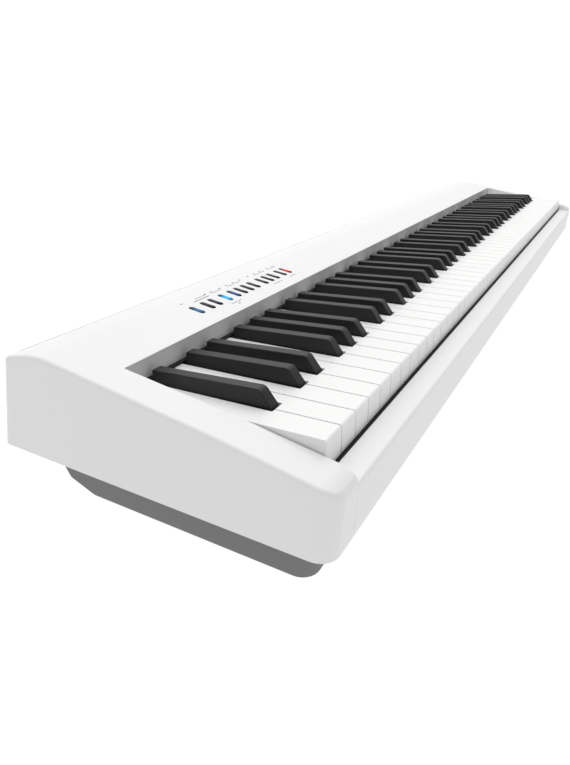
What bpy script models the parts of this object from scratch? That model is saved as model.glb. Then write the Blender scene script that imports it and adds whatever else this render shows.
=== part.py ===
"""Portable 88-key digital piano: white case, grey base tray, keys, buttons and inner assemblies.

Local frame of the root empty: X runs along the keyboard to the treble side, Y runs to the back,
Z is up; its origin is the front left top corner of the lowest white key.
"""
import math

import bmesh
import bpy

# ---- overall placing -------------------------------------------------------------------------
ROOT = (-0.611, -0.1165, 0.115)

# ---- keyboard --------------------------------------------------------------------------------
WHITE_COUNT = 52
WHITE_PITCH = 0.0235
KEY_SLIT = 0.0009
KEYBOARD_W = WHITE_COUNT * WHITE_PITCH
LETTERS = "ABCDEFG"
BLACK_SHIFT = {"A": 0.00344, "C": -0.00228, "D": 0.00229, "F": -0.00344, "G": 0.0}
BLACK_BASE_W = 0.0110
BLACK_TOP_INSET = 0.0006
NOTCH_W = 0.0137
NOTCH_Y = 0.0495
KEY_THICK = 0.012
LIP_Z = 0.021
LIP_T = 0.006
KEY_EDGE = 0.0012
KEY_END = 0.222
SPINE_Y = 0.206
SLIT_END = 0.208
SPINE_WHITE_TOP = 0.0068
SPINE_BLACK_LOW = 0.0060
BLACK_FRONT = 0.051
BLACK_SLANT_Y = 0.0590
BLACK_CROWN_Y = 0.0630
BLACK_BACK = 0.1515
BLACK_TOP = 0.0128
BLACK_REAR_TOP = 0.0095
BLACK_SHOULDER = 0.0112
BLACK_FOOT = 0.0006
PIVOT_Y = 0.215
PIVOT_DROP = 0.006
KEY_TILT = 0.0471
PIVOT_Z = -PIVOT_DROP - PIVOT_Y * math.sin(KEY_TILT)
SINGLE_FIRST = 23
SINGLE_LAST = 29

# ---- white case ------------------------------------------------------------------------------
CASE_X0 = -0.036
CASE_X1 = KEYBOARD_W + 0.036
SIDE_LEAN = 0.085
CASE_FRONT = -0.023
CASE_LOW = -0.062
TOP_Z0 = -0.0088
TOP_SLOPE = 0.124
BACK_TOP_Y = 0.250
BACK_LOW_Y = 0.2565
NOSE_Y = -0.008
NOSE_DROP = 0.0075
BROW_Y = 0.060
BROW_SLOPE = 0.028
CREST = ((0.192, 0.0150), (0.200, 0.0159), (0.207, 0.0165), (0.213, 0.0167), (0.219, 0.0163),
         (0.2275, 0.0149), (0.238, 0.0125), (0.246, 0.0100), (0.252, 0.0075))
SIDE_Y = (0.008, 0.025, 0.060, 0.110, 0.160, 0.192, 0.200, 0.207, 0.213, 0.219, 0.2275,
          0.2355)
CORNER_R = 0.014
BACK_CORNER_R = 0.008
TOP_R = 0.0028
WALL = 0.003
WELL_GAP = 0.0006
WELL_BACK = 0.1583
PROUD = 0.02
GAP = 0.0003

# ---- front rail and felts --------------------------------------------------------------------
RAIL_TOP_BACK = -0.0200
RAIL_TOP_FRONT = -0.0222
RAIL_BACK = -0.0035
RAIL_EDGE = 0.0025
RAIL_LIP_Z = -0.035
FELT_Y = (-0.0032, -0.0014)
FELT_Z = (-0.034, -0.0206)
STOP_FELT_Y = (0.0155, 0.035)
STOP_FELT_Z = (-0.0237, -0.0222)

# ---- fallboard -------------------------------------------------------------------------------
FALL_Y = (0.1586, 0.1612)
FALL_Z = (-0.0060, 0.0072)
BACK_FELT_Y = (0.1545, 0.1583)
BACK_FELT_Z = (-0.0068, -0.0052)

# ---- base tray -------------------------------------------------------------------------------
TRAY_X0 = -0.008
TRAY_X1 = KEYBOARD_W + 0.008
TRAY_LOW = -0.107
TRAY_R = 0.014
FLANGE_TOP = -0.059
FLANGE_GAP = 0.0036
FLANGE_BACK = 0.251
FLANGE_R = 0.019
SPEAKER_X = (0.150, KEYBOARD_W - 0.150)
SPEAKER_Y = 0.100
SPEAKER_HOLE_R = 0.056

# ---- buttons ---------------------------------------------------------------------------------
BUTTON_X = (0.1245, 0.141, 0.153, 0.170, 0.185, 0.197, 0.209, 0.221,
            0.2375, 0.2495, 0.2615, 0.277, 0.289)
BUTTON_Y = 0.1855
BUTTON_L = 0.0165
BUTTON_W = 0.0055
BUTTON_PROUD = 0.0009
BUTTON_FLANGE = 0.0012
FLANGE_GROW = 0.0009
PANEL_TILT = math.atan(TOP_SLOPE)

# ---- rear sockets ----------------------------------------------------------------------------
SOCKETS = (("power_inlet", 0.540, 0.0035), ("pedal_jack", 0.572, 0.0033))
SOCKET_W = 0.014
SOCKET_H = 0.012
SOCKET_Z = -0.024
SOCKET_Y = (0.2363, 0.2520)
BORE_DEPTH = 0.011

# ---- feet ------------------------------------------------------------------------------------
FOOT_R = 0.016
FOOT_H = 0.0077
FOOT_X = (0.045, KEYBOARD_W - 0.045)
FOOT_Y = (0.026, 0.178)

PARTS = None
CUTTERS = None
ROOT_EMPTY = None


def clear_scene():
    """Remove every object of the start file."""
    for obj in list(bpy.data.objects):
        bpy.data.objects.remove(obj, do_unlink=True)


def setup():
    """Make the two collections and the root empty."""
    global PARTS, CUTTERS, ROOT_EMPTY
    PARTS = bpy.data.collections.new("digital_piano")
    CUTTERS = bpy.data.collections.new("cutters")
    bpy.context.scene.collection.children.link(PARTS)
    bpy.context.scene.collection.children.link(CUTTERS)
    ROOT_EMPTY = bpy.data.objects.new("piano_root", None)
    ROOT_EMPTY.location = ROOT
    PARTS.objects.link(ROOT_EMPTY)


def material(name, colour, roughness, metallic=0.0):
    """Return a new Principled material."""
    mat = bpy.data.materials.new(name)
    mat.use_nodes = True
    shader = mat.node_tree.nodes["Principled BSDF"]
    shader.inputs["Base Color"].default_value = (*colour, 1.0)
    shader.inputs["Roughness"].default_value = roughness
    shader.inputs["Metallic"].default_value = metallic
    return mat


def finish_mesh(bm, name):
    """Turn a bmesh into a mesh with outward normals."""
    bmesh.ops.recalc_face_normals(bm, faces=bm.faces[:])
    mesh = bpy.data.meshes.new(name)
    bm.to_mesh(mesh)
    bm.free()
    return mesh


def add_part(name, bm, mat, location=(0.0, 0.0, 0.0), tilt=0.0):
    """Link one sub-part under the root empty."""
    mesh = finish_mesh(bm, name)
    mesh.materials.append(mat)
    obj = bpy.data.objects.new(name, mesh)
    obj.parent = ROOT_EMPTY
    obj.location = location
    obj.rotation_euler = (tilt, 0.0, 0.0)
    PARTS.objects.link(obj)
    return obj


def add_cutter(name, bm, location=(0.0, 0.0, 0.0), tilt=0.0):
    """Link one cutter under the root empty."""
    mesh = finish_mesh(bm, name)
    obj = bpy.data.objects.new(name, mesh)
    obj.parent = ROOT_EMPTY
    obj.location = location
    obj.rotation_euler = (tilt, 0.0, 0.0)
    obj.hide_render = True
    obj.display_type = "WIRE"
    CUTTERS.objects.link(obj)
    return obj


def boolean(obj, other, operation="DIFFERENCE"):
    """Add an exact Boolean with another object."""
    mod = obj.modifiers.new(other.name, "BOOLEAN")
    mod.operation = operation
    mod.solver = "EXACT"
    mod.object = other


def loft(bm, first, second):
    """Close two matching point loops into a prism inside bm."""
    a = [bm.verts.new(p) for p in first]
    b = [bm.verts.new(p) for p in second]
    count = len(a)
    bm.faces.new(a)
    bm.faces.new(list(reversed(b)))
    for i in range(count):
        j = (i + 1) % count
        bm.faces.new((a[j], a[i], b[i], b[j]))


def prism_x(outline, x0, x1):
    """Prism of a (y, z) outline from x0 to x1."""
    bm = bmesh.new()
    loft(bm, [(x0, y, z) for y, z in outline], [(x1, y, z) for y, z in outline])
    return bm


def prism_z(outline, z0, z1, bm=None):
    """Prism of an (x, y) outline from z0 to z1."""
    bm = bm or bmesh.new()
    loft(bm, [(x, y, z0) for x, y in outline], [(x, y, z1) for x, y in outline])
    return bm


def box(x0, x1, y0, y1, z0, z1, bm=None):
    """Axis-aligned box."""
    return prism_z([(x0, y0), (x1, y0), (x1, y1), (x0, y1)], z0, z1, bm)


def upright_edges(bm, keep):
    """Edges that run mostly up, filtered by a test on their middle."""
    edges = []
    for edge in bm.edges:
        a, b = (v.co for v in edge.verts)
        if abs(a.x - b.x) < 1e-6 and abs(a.z - b.z) > abs(a.y - b.y) * 2 and keep((a + b) / 2):
            edges.append(edge)
    return edges


def round_edges(bm, edges, radius, segments):
    """Bevel the given edges round."""
    bmesh.ops.bevel(bm, geom=edges, offset=radius, segments=segments, profile=0.5,
                    affect="EDGES", clamp_overlap=True)


# ---- white case ------------------------------------------------------------------------------
def top_height(y):
    """Height of the sloping top at depth y."""
    return TOP_Z0 + TOP_SLOPE * y


def case_height(y):
    """Height of the case top at depth y: round nose, straight panel, soft crest."""
    if y >= CREST[0][0]:
        for (y0, z0), (y1, z1) in zip(CREST, CREST[1:]):
            if y <= y1:
                return z0 + (z1 - z0) * (y - y0) / (y1 - y0)
        return CREST[-1][1]
    brow = BROW_SLOPE * max(0.0, BROW_Y - y)
    reach = min(1.0, max(0.0, NOSE_Y - y) / (NOSE_Y - CASE_FRONT))
    return top_height(y) - brow - NOSE_DROP * (1.0 - math.sqrt(1.0 - reach * reach))


def case_ring(inset, back):
    """Left half of the plan outline from front to back, as (x, y) points."""
    x0 = CASE_X0 + inset
    front = CASE_FRONT + inset
    end = back - inset
    near = CORNER_R - inset
    far = BACK_CORNER_R - inset
    points = []
    for i in range(6):
        angle = math.pi / 2 * i / 5
        points.append((x0 + near - near * math.sin(angle), front + near - near * math.cos(angle)))
    points += [(x0, y) for y in SIDE_Y]
    for i in range(5):
        angle = math.pi / 2 * i / 4
        points.append((x0 + far - far * math.cos(angle), end - far + far * math.sin(angle)))
    return points


def case_solid(inset, drop):
    """Rounded solid of the case, moved inwards by inset and run down by drop."""
    bm = bmesh.new()
    extra = drop / (case_height(0.1) - CASE_LOW)
    radius = TOP_R - inset * 0.6
    low = case_ring(inset, BACK_LOW_Y + extra * (BACK_LOW_Y - BACK_TOP_Y))
    rings = [[(x, y, CASE_LOW - drop) for x, y in low]]
    for i in range(4):
        angle = math.pi / 2 * i / 3
        ring = case_ring(inset + radius * (1.0 - math.cos(angle)), BACK_TOP_Y)
        rings.append([(x, y, case_height(y) - inset - radius * (1.0 - math.sin(angle)))
                      for x, y in ring])
    made = []
    for ring in rings:
        leant = [(x + SIDE_LEAN * (z - CASE_LOW), y, z) for x, y, z in ring]
        left = [bm.verts.new(p) for p in leant]
        right = [bm.verts.new((KEYBOARD_W - x, y, z)) for x, y, z in leant]
        made.append((left, right))
    left, right = made[0]
    bm.faces.new(left + list(reversed(right)))
    for (l0, r0), (l1, r1) in zip(made, made[1:]):
        loop0 = l0 + list(reversed(r0))
        loop1 = l1 + list(reversed(r1))
        for i in range(len(loop0)):
            j = (i + 1) % len(loop0)
            bm.faces.new((loop0[i], loop0[j], loop1[j], loop1[i]))
    left, right = made[-1]
    for i in range(len(left) - 1):
        bm.faces.new((left[i], left[i + 1], right[i + 1], right[i]))
    return bm


def capsule(length, width, grow=0.0, segments=4):
    """Capsule outline centred at the origin, long side along Y."""
    radius = width / 2 + grow
    reach = length / 2 + grow - radius
    points = []
    for i in range(segments + 1):
        angle = math.pi * i / segments
        points.append((radius * math.cos(angle), reach + radius * math.sin(angle)))
    for i in range(segments + 1):
        angle = math.pi + math.pi * i / segments
        points.append((radius * math.cos(angle), -reach + radius * math.sin(angle)))
    return points


def button_cutters():
    """One mesh of capsule prisms through the panel, in the tilted panel frame."""
    bm = bmesh.new()
    for x in BUTTON_X:
        outline = [(x + px, py) for px, py in capsule(BUTTON_L, BUTTON_W, GAP)]
        prism_z(outline, -WALL * 2, WALL, bm)
    return add_cutter("cut_buttons", bm, (0.0, BUTTON_Y, top_height(BUTTON_Y)), PANEL_TILT)


def build_case(mat):
    """White upper case: cheeks, control panel and back wall in one moulding."""
    cavity = add_cutter("cut_cavity", case_solid(WALL, PROUD))
    for name, x0, x1 in (("keep_left", -WALL - WELL_GAP, -GAP),
                         ("keep_right", KEYBOARD_W + GAP, KEYBOARD_W + WALL + WELL_GAP)):
        keep = add_cutter(name, box(x0, x1, CASE_FRONT - PROUD, WELL_BACK + WALL,
                                    FLANGE_TOP + GAP, PROUD * 2))
        boolean(cavity, keep)
    case = add_part("top_case", case_solid(0.0, 0.0), mat)
    boolean(case, cavity)
    well = add_cutter("cut_well", box(-WELL_GAP, KEYBOARD_W + WELL_GAP, CASE_FRONT - PROUD,
                                      WELL_BACK, CASE_LOW - PROUD, PROUD * 2))
    boolean(case, well)
    boolean(case, button_cutters())
    half_w = SOCKET_W / 2 + GAP
    half_h = SOCKET_H / 2 + GAP
    bm = bmesh.new()
    for _, x, _ in SOCKETS:
        box(x - half_w, x + half_w, BACK_TOP_Y - PROUD / 2, BACK_LOW_Y + PROUD,
            SOCKET_Z - half_h, SOCKET_Z + half_h, bm)
    boolean(case, add_cutter("cut_sockets", bm))


def build_front_rail(mat):
    """Low rail in front of the keys: a bent strip with a lip at the gap."""
    outline = [
        (CASE_FRONT, CASE_LOW),
        (CASE_FRONT, RAIL_TOP_FRONT - RAIL_EDGE),
        (CASE_FRONT + RAIL_EDGE / 3, RAIL_TOP_FRONT - RAIL_EDGE / 3),
        (CASE_FRONT + RAIL_EDGE, RAIL_TOP_FRONT),
        (RAIL_BACK - RAIL_EDGE / 3, RAIL_TOP_BACK),
        (RAIL_BACK, RAIL_TOP_BACK - RAIL_EDGE / 3),
        (RAIL_BACK, RAIL_LIP_Z),
        (RAIL_BACK - WALL, RAIL_LIP_Z),
        (RAIL_BACK - WALL, RAIL_TOP_BACK - WALL),
        (CASE_FRONT + WALL, RAIL_TOP_FRONT - WALL),
        (CASE_FRONT + WALL, CASE_LOW),
    ]
    add_part("front_rail", prism_x(outline, GAP - WELL_GAP, KEYBOARD_W + WELL_GAP - GAP), mat)


def build_strips(felt, shade):
    """Felt in the gap, felt under the key fronts and the board behind the keys."""
    edge = WELL_GAP
    add_part("slip_felt", box(edge, KEYBOARD_W - edge, *FELT_Y, *FELT_Z), felt)
    add_part("key_stop_felt", box(edge * 4, KEYBOARD_W - edge * 4, *STOP_FELT_Y,
                                  *STOP_FELT_Z), felt)
    add_part("key_back_felt", box(edge, KEYBOARD_W - edge, *BACK_FELT_Y, *BACK_FELT_Z), felt)
    add_part("fallboard", box(0.0, KEYBOARD_W, *FALL_Y, *FALL_Z), shade)


# ---- base tray -------------------------------------------------------------------------------
def tray_outline(inset, top):
    """Side outline of the tub with its raised back corner."""
    return [
        (0.001 + inset, top),
        (0.001 + inset, TRAY_LOW + 0.003 + inset),
        (0.004 + inset, TRAY_LOW + inset),
        (0.192, TRAY_LOW + inset),
        (0.218 - inset, TRAY_LOW + 0.009 + inset),
        (0.226 - inset, TRAY_LOW + 0.021),
        (0.228 - inset, top),
    ]


def tray_body(inset, top, radius):
    """Tub solid with round front corners."""
    bm = prism_x(tray_outline(inset, top), TRAY_X0 + inset, TRAY_X1 - inset)
    edges = upright_edges(bm, lambda m: m.y < 0.01 and m.z > TRAY_LOW + 0.01)
    round_edges(bm, edges, radius, 3)
    return bm


def flange_body():
    """Flat flange that closes the case from below."""
    x0 = CASE_X0 + FLANGE_GAP
    x1 = CASE_X1 - FLANGE_GAP
    bm = box(x0, x1, CASE_FRONT + FLANGE_GAP, FLANGE_BACK, CASE_LOW, FLANGE_TOP)
    round_edges(bm, upright_edges(bm, lambda m: True), FLANGE_R, 4)
    return bm


def cylinder(x, y, z0, z1, radius, segments=32, bm=None):
    """Upright cylinder."""
    outline = [(x + radius * math.cos(2 * math.pi * i / segments),
                y + radius * math.sin(2 * math.pi * i / segments)) for i in range(segments)]
    return prism_z(outline, z0, z1, bm)


def build_tray(mat):
    """Grey base tray with speaker holes."""
    tray = add_part("base_tray", tray_body(0.0, CASE_LOW + WALL / 2, TRAY_R), mat)
    boolean(tray, add_cutter("add_flange", flange_body()), "UNION")
    boolean(tray, add_cutter("cut_tub", tray_body(WALL, PROUD + FLANGE_TOP, TRAY_R - WALL)))
    holes = bmesh.new()
    for x in SPEAKER_X:
        cylinder(x, SPEAKER_Y, TRAY_LOW - PROUD, TRAY_LOW + WALL * 2, SPEAKER_HOLE_R, bm=holes)
    boolean(tray, add_cutter("cut_speakers", holes))


def turned(profile, segments):
    """Closed body turned about Z from a (radius, z) profile that starts and ends at the axis."""
    bm = bmesh.new()
    rings = []
    for radius, z in profile[1:-1]:
        rings.append([bm.verts.new((radius * math.cos(2 * math.pi * i / segments),
                                    radius * math.sin(2 * math.pi * i / segments), z))
                      for i in range(segments)])
    top = bm.verts.new((0.0, 0.0, profile[0][1]))
    low = bm.verts.new((0.0, 0.0, profile[-1][1]))
    for i in range(segments):
        j = (i + 1) % segments
        bm.faces.new((top, rings[0][i], rings[0][j]))
        bm.faces.new((low, rings[-1][j], rings[-1][i]))
        for upper, lower in zip(rings, rings[1:]):
            bm.faces.new((upper[i], lower[i], lower[j], upper[j]))
    return bm


def build_speakers(metal, grille_mat):
    """Two downward speakers and the grilles under them."""
    floor = TRAY_LOW + WALL + GAP
    profile = [(0.0, 0.040), (0.026, 0.040), (0.026, 0.024), (0.034, 0.022), (0.058, 0.005),
               (0.062, 0.004), (0.062, 0.0), (0.050, 0.0), (0.020, 0.012), (0.0, 0.014)]
    for name, x in zip(("left", "right"), SPEAKER_X):
        add_part("speaker_" + name, turned(profile, 24), metal, (x, SPEAKER_Y, floor))
        disc = cylinder(0.0, 0.0, 0.0, WALL / 2, SPEAKER_HOLE_R - GAP, 32)
        add_part("grille_" + name, disc, grille_mat, (x, SPEAKER_Y, TRAY_LOW + WALL / 4))


def build_feet(mat):
    """Four rubber feet under the tray."""
    profile = [(0.0, 0.0), (FOOT_R, 0.0), (FOOT_R, -FOOT_H * 0.75),
               (FOOT_R * 0.9, -FOOT_H), (0.0, -FOOT_H)]
    index = 0
    for x in FOOT_X:
        for y in FOOT_Y:
            index += 1
            add_part("foot_%d" % index, turned(profile, 24), mat, (x, y, TRAY_LOW - GAP))


# ---- inner assemblies ------------------------------------------------------------------------
def build_chassis(mat):
    """Folded key frame: floor, front stop shelf and rear pivot ridge."""
    outline = [
        (0.010, -0.0584), (0.220, -0.0584), (0.220, -0.0554), (0.217, -0.0554),
        (0.217, -0.0229), (0.213, -0.0229), (0.213, -0.0554), (0.017, -0.0554),
        (0.017, -0.027), (0.036, -0.027), (0.036, -0.024), (0.014, -0.024),
        (0.014, -0.0554), (0.010, -0.0554),
    ]
    add_part("key_chassis", prism_x(outline, 0.002, KEYBOARD_W - 0.002), mat)


def build_boards(mat):
    """Circuit boards: main board in the tray, panel board, rear socket board."""
    z = TRAY_LOW + WALL + GAP
    board = add_part("main_board", box(0.5, 0.64, 0.08, 0.17, z + 0.006, z + 0.0076), mat)
    extra = bmesh.new()
    for x in (0.506, 0.626):
        for y in (0.086, 0.156):
            box(x, x + 0.008, y, y + 0.008, z, z + 0.0065, extra)
    for x, y, w in ((0.53, 0.10, 0.024), (0.575, 0.105, 0.018), (0.545, 0.14, 0.014)):
        box(x, x + w, y, y + w, z + 0.007, z + 0.0105, extra)
    boolean(board, add_cutter("add_chips", extra), "UNION")
    low = -WALL - GAP - BUTTON_FLANGE - 0.0013
    add_part("panel_board", box(BUTTON_X[0] - 0.012, BUTTON_X[-1] + 0.012, -0.013, 0.013,
                                low - 0.0016, low), mat,
             (0.0, BUTTON_Y, top_height(BUTTON_Y)), PANEL_TILT)
    x0 = SOCKETS[0][1] - 0.02
    x1 = SOCKETS[-1][1] + 0.02
    add_part("jack_board", box(x0, x1, SOCKET_Y[0] - 0.0019, SOCKET_Y[0] - GAP,
                               -0.050, SOCKET_Z + 0.012), mat)


def build_sockets(mat):
    """Power inlet and pedal jack in the back wall."""
    for name, x, radius in SOCKETS:
        body = add_part(name, box(x - SOCKET_W / 2, x + SOCKET_W / 2, *SOCKET_Y,
                                  SOCKET_Z - SOCKET_H / 2, SOCKET_Z + SOCKET_H / 2), mat)
        bore = cylinder(0.0, 0.0, -BORE_DEPTH, PROUD, radius, 20)
        boolean(body, add_cutter("bore_" + name, bore, (x, SOCKET_Y[1], SOCKET_Z),
                                 -math.pi / 2))


def build_buttons(mat):
    """Capsule buttons with a holding flange under the panel skin."""
    low = -WALL - GAP
    for i, x in enumerate(BUTTON_X):
        bm = bmesh.new()
        cap = capsule(BUTTON_L, BUTTON_W)
        wide = capsule(BUTTON_L, BUTTON_W, FLANGE_GROW)
        loops = ((wide, low - BUTTON_FLANGE), (wide, low), (cap, low), (cap, BUTTON_PROUD))
        rings = [[bm.verts.new((px, py, z)) for px, py in ring] for ring, z in loops]
        bm.faces.new(rings[0])
        bm.faces.new(rings[-1])
        count = len(cap)
        for lower, upper in zip(rings, rings[1:]):
            for k in range(count):
                n = (k + 1) % count
                bm.faces.new((lower[k], lower[n], upper[n], upper[k]))
        add_part("button_%02d" % (i + 1), bm, mat, (x, BUTTON_Y, top_height(BUTTON_Y)),
                 PANEL_TILT)


# ---- keys ------------------------------------------------------------------------------------
def shifted(outline):
    """Move a key outline from the key frame to the pivot frame."""
    return [(y - PIVOT_Y, z + PIVOT_DROP) for y, z in outline]


def white_outline():
    """Side outline of a white key."""
    return shifted([
        (0.0, -LIP_Z), (0.0, -KEY_EDGE), (KEY_EDGE, 0.0), (SPINE_Y, 0.0),
        (SPINE_Y, -SPINE_WHITE_TOP), (KEY_END, -SPINE_WHITE_TOP), (KEY_END, -KEY_THICK),
        (LIP_T, -KEY_THICK), (LIP_T, -LIP_Z),
    ])


def black_outline():
    """Side outline of a black key with its slanted front."""
    return shifted([
        (BLACK_FRONT, -KEY_THICK), (BLACK_FRONT, BLACK_FOOT), (BLACK_SLANT_Y, BLACK_SHOULDER),
        (BLACK_CROWN_Y, BLACK_TOP), (BLACK_BACK, BLACK_REAR_TOP), (BLACK_BACK, 0.0),
        (KEY_END, 0.0), (KEY_END, -SPINE_BLACK_LOW), (SPINE_Y, -SPINE_BLACK_LOW),
        (SPINE_Y, -KEY_THICK),
    ])


def black_centre(index):
    """Middle of the black key to the right of white key index, or None."""
    letter = LETTERS[index % len(LETTERS)]
    if letter not in BLACK_SHIFT or index < 0 or index >= WHITE_COUNT - 1:
        return None
    return (index + 1) * WHITE_PITCH + BLACK_SHIFT[letter]


def seam_outline(index, end):
    """Plan outline of the slit to the right of white key index, with the black key notch."""
    seam = (index + 1) * WHITE_PITCH
    x0 = seam - KEY_SLIT / 2
    x1 = seam + KEY_SLIT / 2
    front = -PIVOT_Y - PROUD
    back = end - PIVOT_Y
    centre = black_centre(index)
    if centre is None:
        return [(x0, front), (x1, front), (x1, back), (x0, back)]
    notch = NOTCH_Y - PIVOT_Y
    left = centre - NOTCH_W / 2
    right = centre + NOTCH_W / 2
    return [(x0, front), (x1, front), (x1, notch), (right, notch), (right, back),
            (left, back), (left, notch), (x0, notch)]


def white_group(name, first, last, mat):
    """White keys first..last as one comb joined by a rear spine."""
    origin = first * WHITE_PITCH
    x0 = KEY_SLIT / 2
    x1 = (last + 1) * WHITE_PITCH - origin - KEY_SLIT / 2
    pivot = (origin, PIVOT_Y, PIVOT_Z)
    obj = add_part(name, prism_x(white_outline(), x0, x1), mat, pivot, -KEY_TILT)
    bm = bmesh.new()
    single = first == last
    for index in range(first - 1, last + 1):
        inner = first <= index < last
        if not inner and black_centre(index) is None:
            continue
        end = SLIT_END if inner else KEY_END + PROUD
        outline = seam_outline(index, end)
        prism_z([(x - origin, y) for x, y in outline], -LIP_Z - PROUD, PROUD, bm)
    if bm.verts and (not single or has_notch(first)):
        boolean(obj, add_cutter("cut_" + name, bm, pivot, -KEY_TILT))


def has_notch(index):
    """True when white key index has a black neighbour."""
    return black_centre(index) is not None or black_centre(index - 1) is not None


def black_group(name, first, last, mat):
    """Black keys between white keys first..last+1 as one comb joined by a rear spine."""
    centres = [c for c in (black_centre(i) for i in range(first, last + 1)) if c is not None]
    half = BLACK_BASE_W / 2
    origin = centres[0]
    pivot = (origin, PIVOT_Y, PIVOT_Z)
    x1 = centres[-1] - origin + half
    bm = prism_x(black_outline(), -half, x1)
    bm_narrow_ends(bm, -half, x1)
    obj = add_part(name, bm, mat, pivot, -KEY_TILT)
    gaps = bmesh.new()
    for left, right in zip(centres, centres[1:]):
        x_left = left - origin + half
        x_right = right - origin - half
        tapered_gap(gaps, x_left, x_right)
    if gaps.verts:
        boolean(obj, add_cutter("cut_" + name, gaps, pivot, -KEY_TILT))
    else:
        gaps.free()


def bm_narrow_ends(bm, x0, x1):
    """Lean the end faces of a black key inwards above its foot."""
    for vert in bm.verts:
        if vert.co.z > PIVOT_DROP + BLACK_FOOT * 2:
            vert.co.x += BLACK_TOP_INSET if abs(vert.co.x - x0) < 1e-6 else -BLACK_TOP_INSET


def tapered_gap(bm, x0, x1):
    """Cutter between two black keys, wider at the top."""
    foot = PIVOT_DROP + BLACK_FOOT
    rise = BLACK_TOP_INSET / (BLACK_TOP - BLACK_FOOT)
    high = PROUD
    grow = rise * (high - foot)
    section = [(x0, -PROUD), (x1, -PROUD), (x1, foot), (x1 + grow, high), (x0 - grow, high),
               (x0, foot)]
    front = -PIVOT_Y
    back = SLIT_END - PIVOT_Y
    loft(bm, [(x, front, z) for x, z in section], [(x, back, z) for x, z in section])


def build_keys(white, black):
    """Middle octave as single keys, the rest as bass and treble combs."""
    white_group("keys_bass_white", 0, SINGLE_FIRST - 1, white)
    black_group("keys_bass_black", 0, SINGLE_FIRST - 1, black)
    for index in range(SINGLE_FIRST, SINGLE_LAST + 1):
        letter = LETTERS[index % len(LETTERS)].lower()
        white_group("key_%s4" % letter, index, index, white)
        if black_centre(index) is not None:
            black_group("key_%ss4" % letter, index, index, black)
    white_group("keys_treble_white", SINGLE_LAST + 1, WHITE_COUNT - 1, white)
    black_group("keys_treble_black", SINGLE_LAST + 1, WHITE_COUNT - 1, black)


def main():
    """Build the whole instrument."""
    clear_scene()
    setup()
    white_case = material("white_abs_case", (0.83, 0.83, 0.83), 0.35)
    shade = material("fallboard_abs", (0.70, 0.70, 0.70), 0.5)
    grey = material("grey_abs_tray", (0.16, 0.16, 0.165), 0.55)
    felt = material("black_felt", (0.02, 0.02, 0.02), 0.95)
    steel = material("zinc_steel", (0.55, 0.56, 0.58), 0.4, 0.9)
    driver = material("speaker_steel", (0.12, 0.12, 0.13), 0.5, 0.3)
    mesh_steel = material("grille_steel", (0.05, 0.05, 0.05), 0.5, 0.6)
    board = material("board_laminate", (0.04, 0.18, 0.08), 0.5)
    socket = material("socket_nylon", (0.02, 0.02, 0.02), 0.5)
    rubber = material("foot_rubber", (0.03, 0.03, 0.03), 0.8)
    button = material("button_abs", (0.03, 0.03, 0.035), 0.35)
    key_white = material("key_white_acrylic", (0.88, 0.88, 0.87), 0.3)
    key_black = material("key_black_matte", (0.02, 0.02, 0.02), 0.5)
    build_case(white_case)
    build_front_rail(white_case)
    build_strips(felt, shade)
    build_tray(grey)
    build_speakers(driver, mesh_steel)
    build_feet(rubber)
    build_chassis(steel)
    build_boards(board)
    build_sockets(socket)
    build_buttons(button)
    build_keys(key_white, key_black)


main()
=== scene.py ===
"""Portable digital piano in satin white: visible shapes, finishes, light and camera."""
import logging
import math
from dataclasses import dataclass, field
from enum import Enum
from typing import Any, Callable, Iterable

import bmesh
import bpy
from mathutils import Matrix, Vector


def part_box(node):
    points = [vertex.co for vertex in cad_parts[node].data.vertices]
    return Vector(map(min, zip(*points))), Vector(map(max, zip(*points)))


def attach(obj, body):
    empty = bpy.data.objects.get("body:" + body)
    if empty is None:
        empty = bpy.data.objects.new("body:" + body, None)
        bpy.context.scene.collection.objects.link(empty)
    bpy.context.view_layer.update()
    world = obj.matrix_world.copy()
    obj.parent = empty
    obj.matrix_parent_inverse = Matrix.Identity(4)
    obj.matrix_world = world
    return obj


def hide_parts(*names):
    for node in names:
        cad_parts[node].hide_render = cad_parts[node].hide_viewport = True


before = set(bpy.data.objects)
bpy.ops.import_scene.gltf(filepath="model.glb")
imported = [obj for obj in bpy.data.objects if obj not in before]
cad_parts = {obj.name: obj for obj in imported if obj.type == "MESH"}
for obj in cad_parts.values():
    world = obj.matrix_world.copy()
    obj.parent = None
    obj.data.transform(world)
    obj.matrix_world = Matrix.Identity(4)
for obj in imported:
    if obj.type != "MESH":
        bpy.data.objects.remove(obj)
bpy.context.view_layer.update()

LOG = logging.getLogger("piano")
Point2 = tuple[float, float]
Outline = list[Point2]


# ---- shared helpers --------------------------------------------------------------------------
def mm(value: float) -> float:
    """Millimetres to metres."""
    return value / 1000.0


def per_mm(size: float) -> float:
    """Texture scale at which one feature measures size millimetres."""
    return 1000.0 / size


def hex_linear(code: str) -> tuple[float, float, float, float]:
    """Turn an sRGB hex colour into linear RGBA.

    Args:
        code: six hex digits after a hash.

    Returns:
        Linear red, green, blue and full alpha.
    """
    parts = [int(code[i:i + 2], 16) / 255.0 for i in (1, 3, 5)]
    linear = [c / 12.92 if c <= 0.04045 else ((c + 0.055) / 1.055) ** 2.4 for c in parts]
    return (*linear, 1.0)


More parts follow.
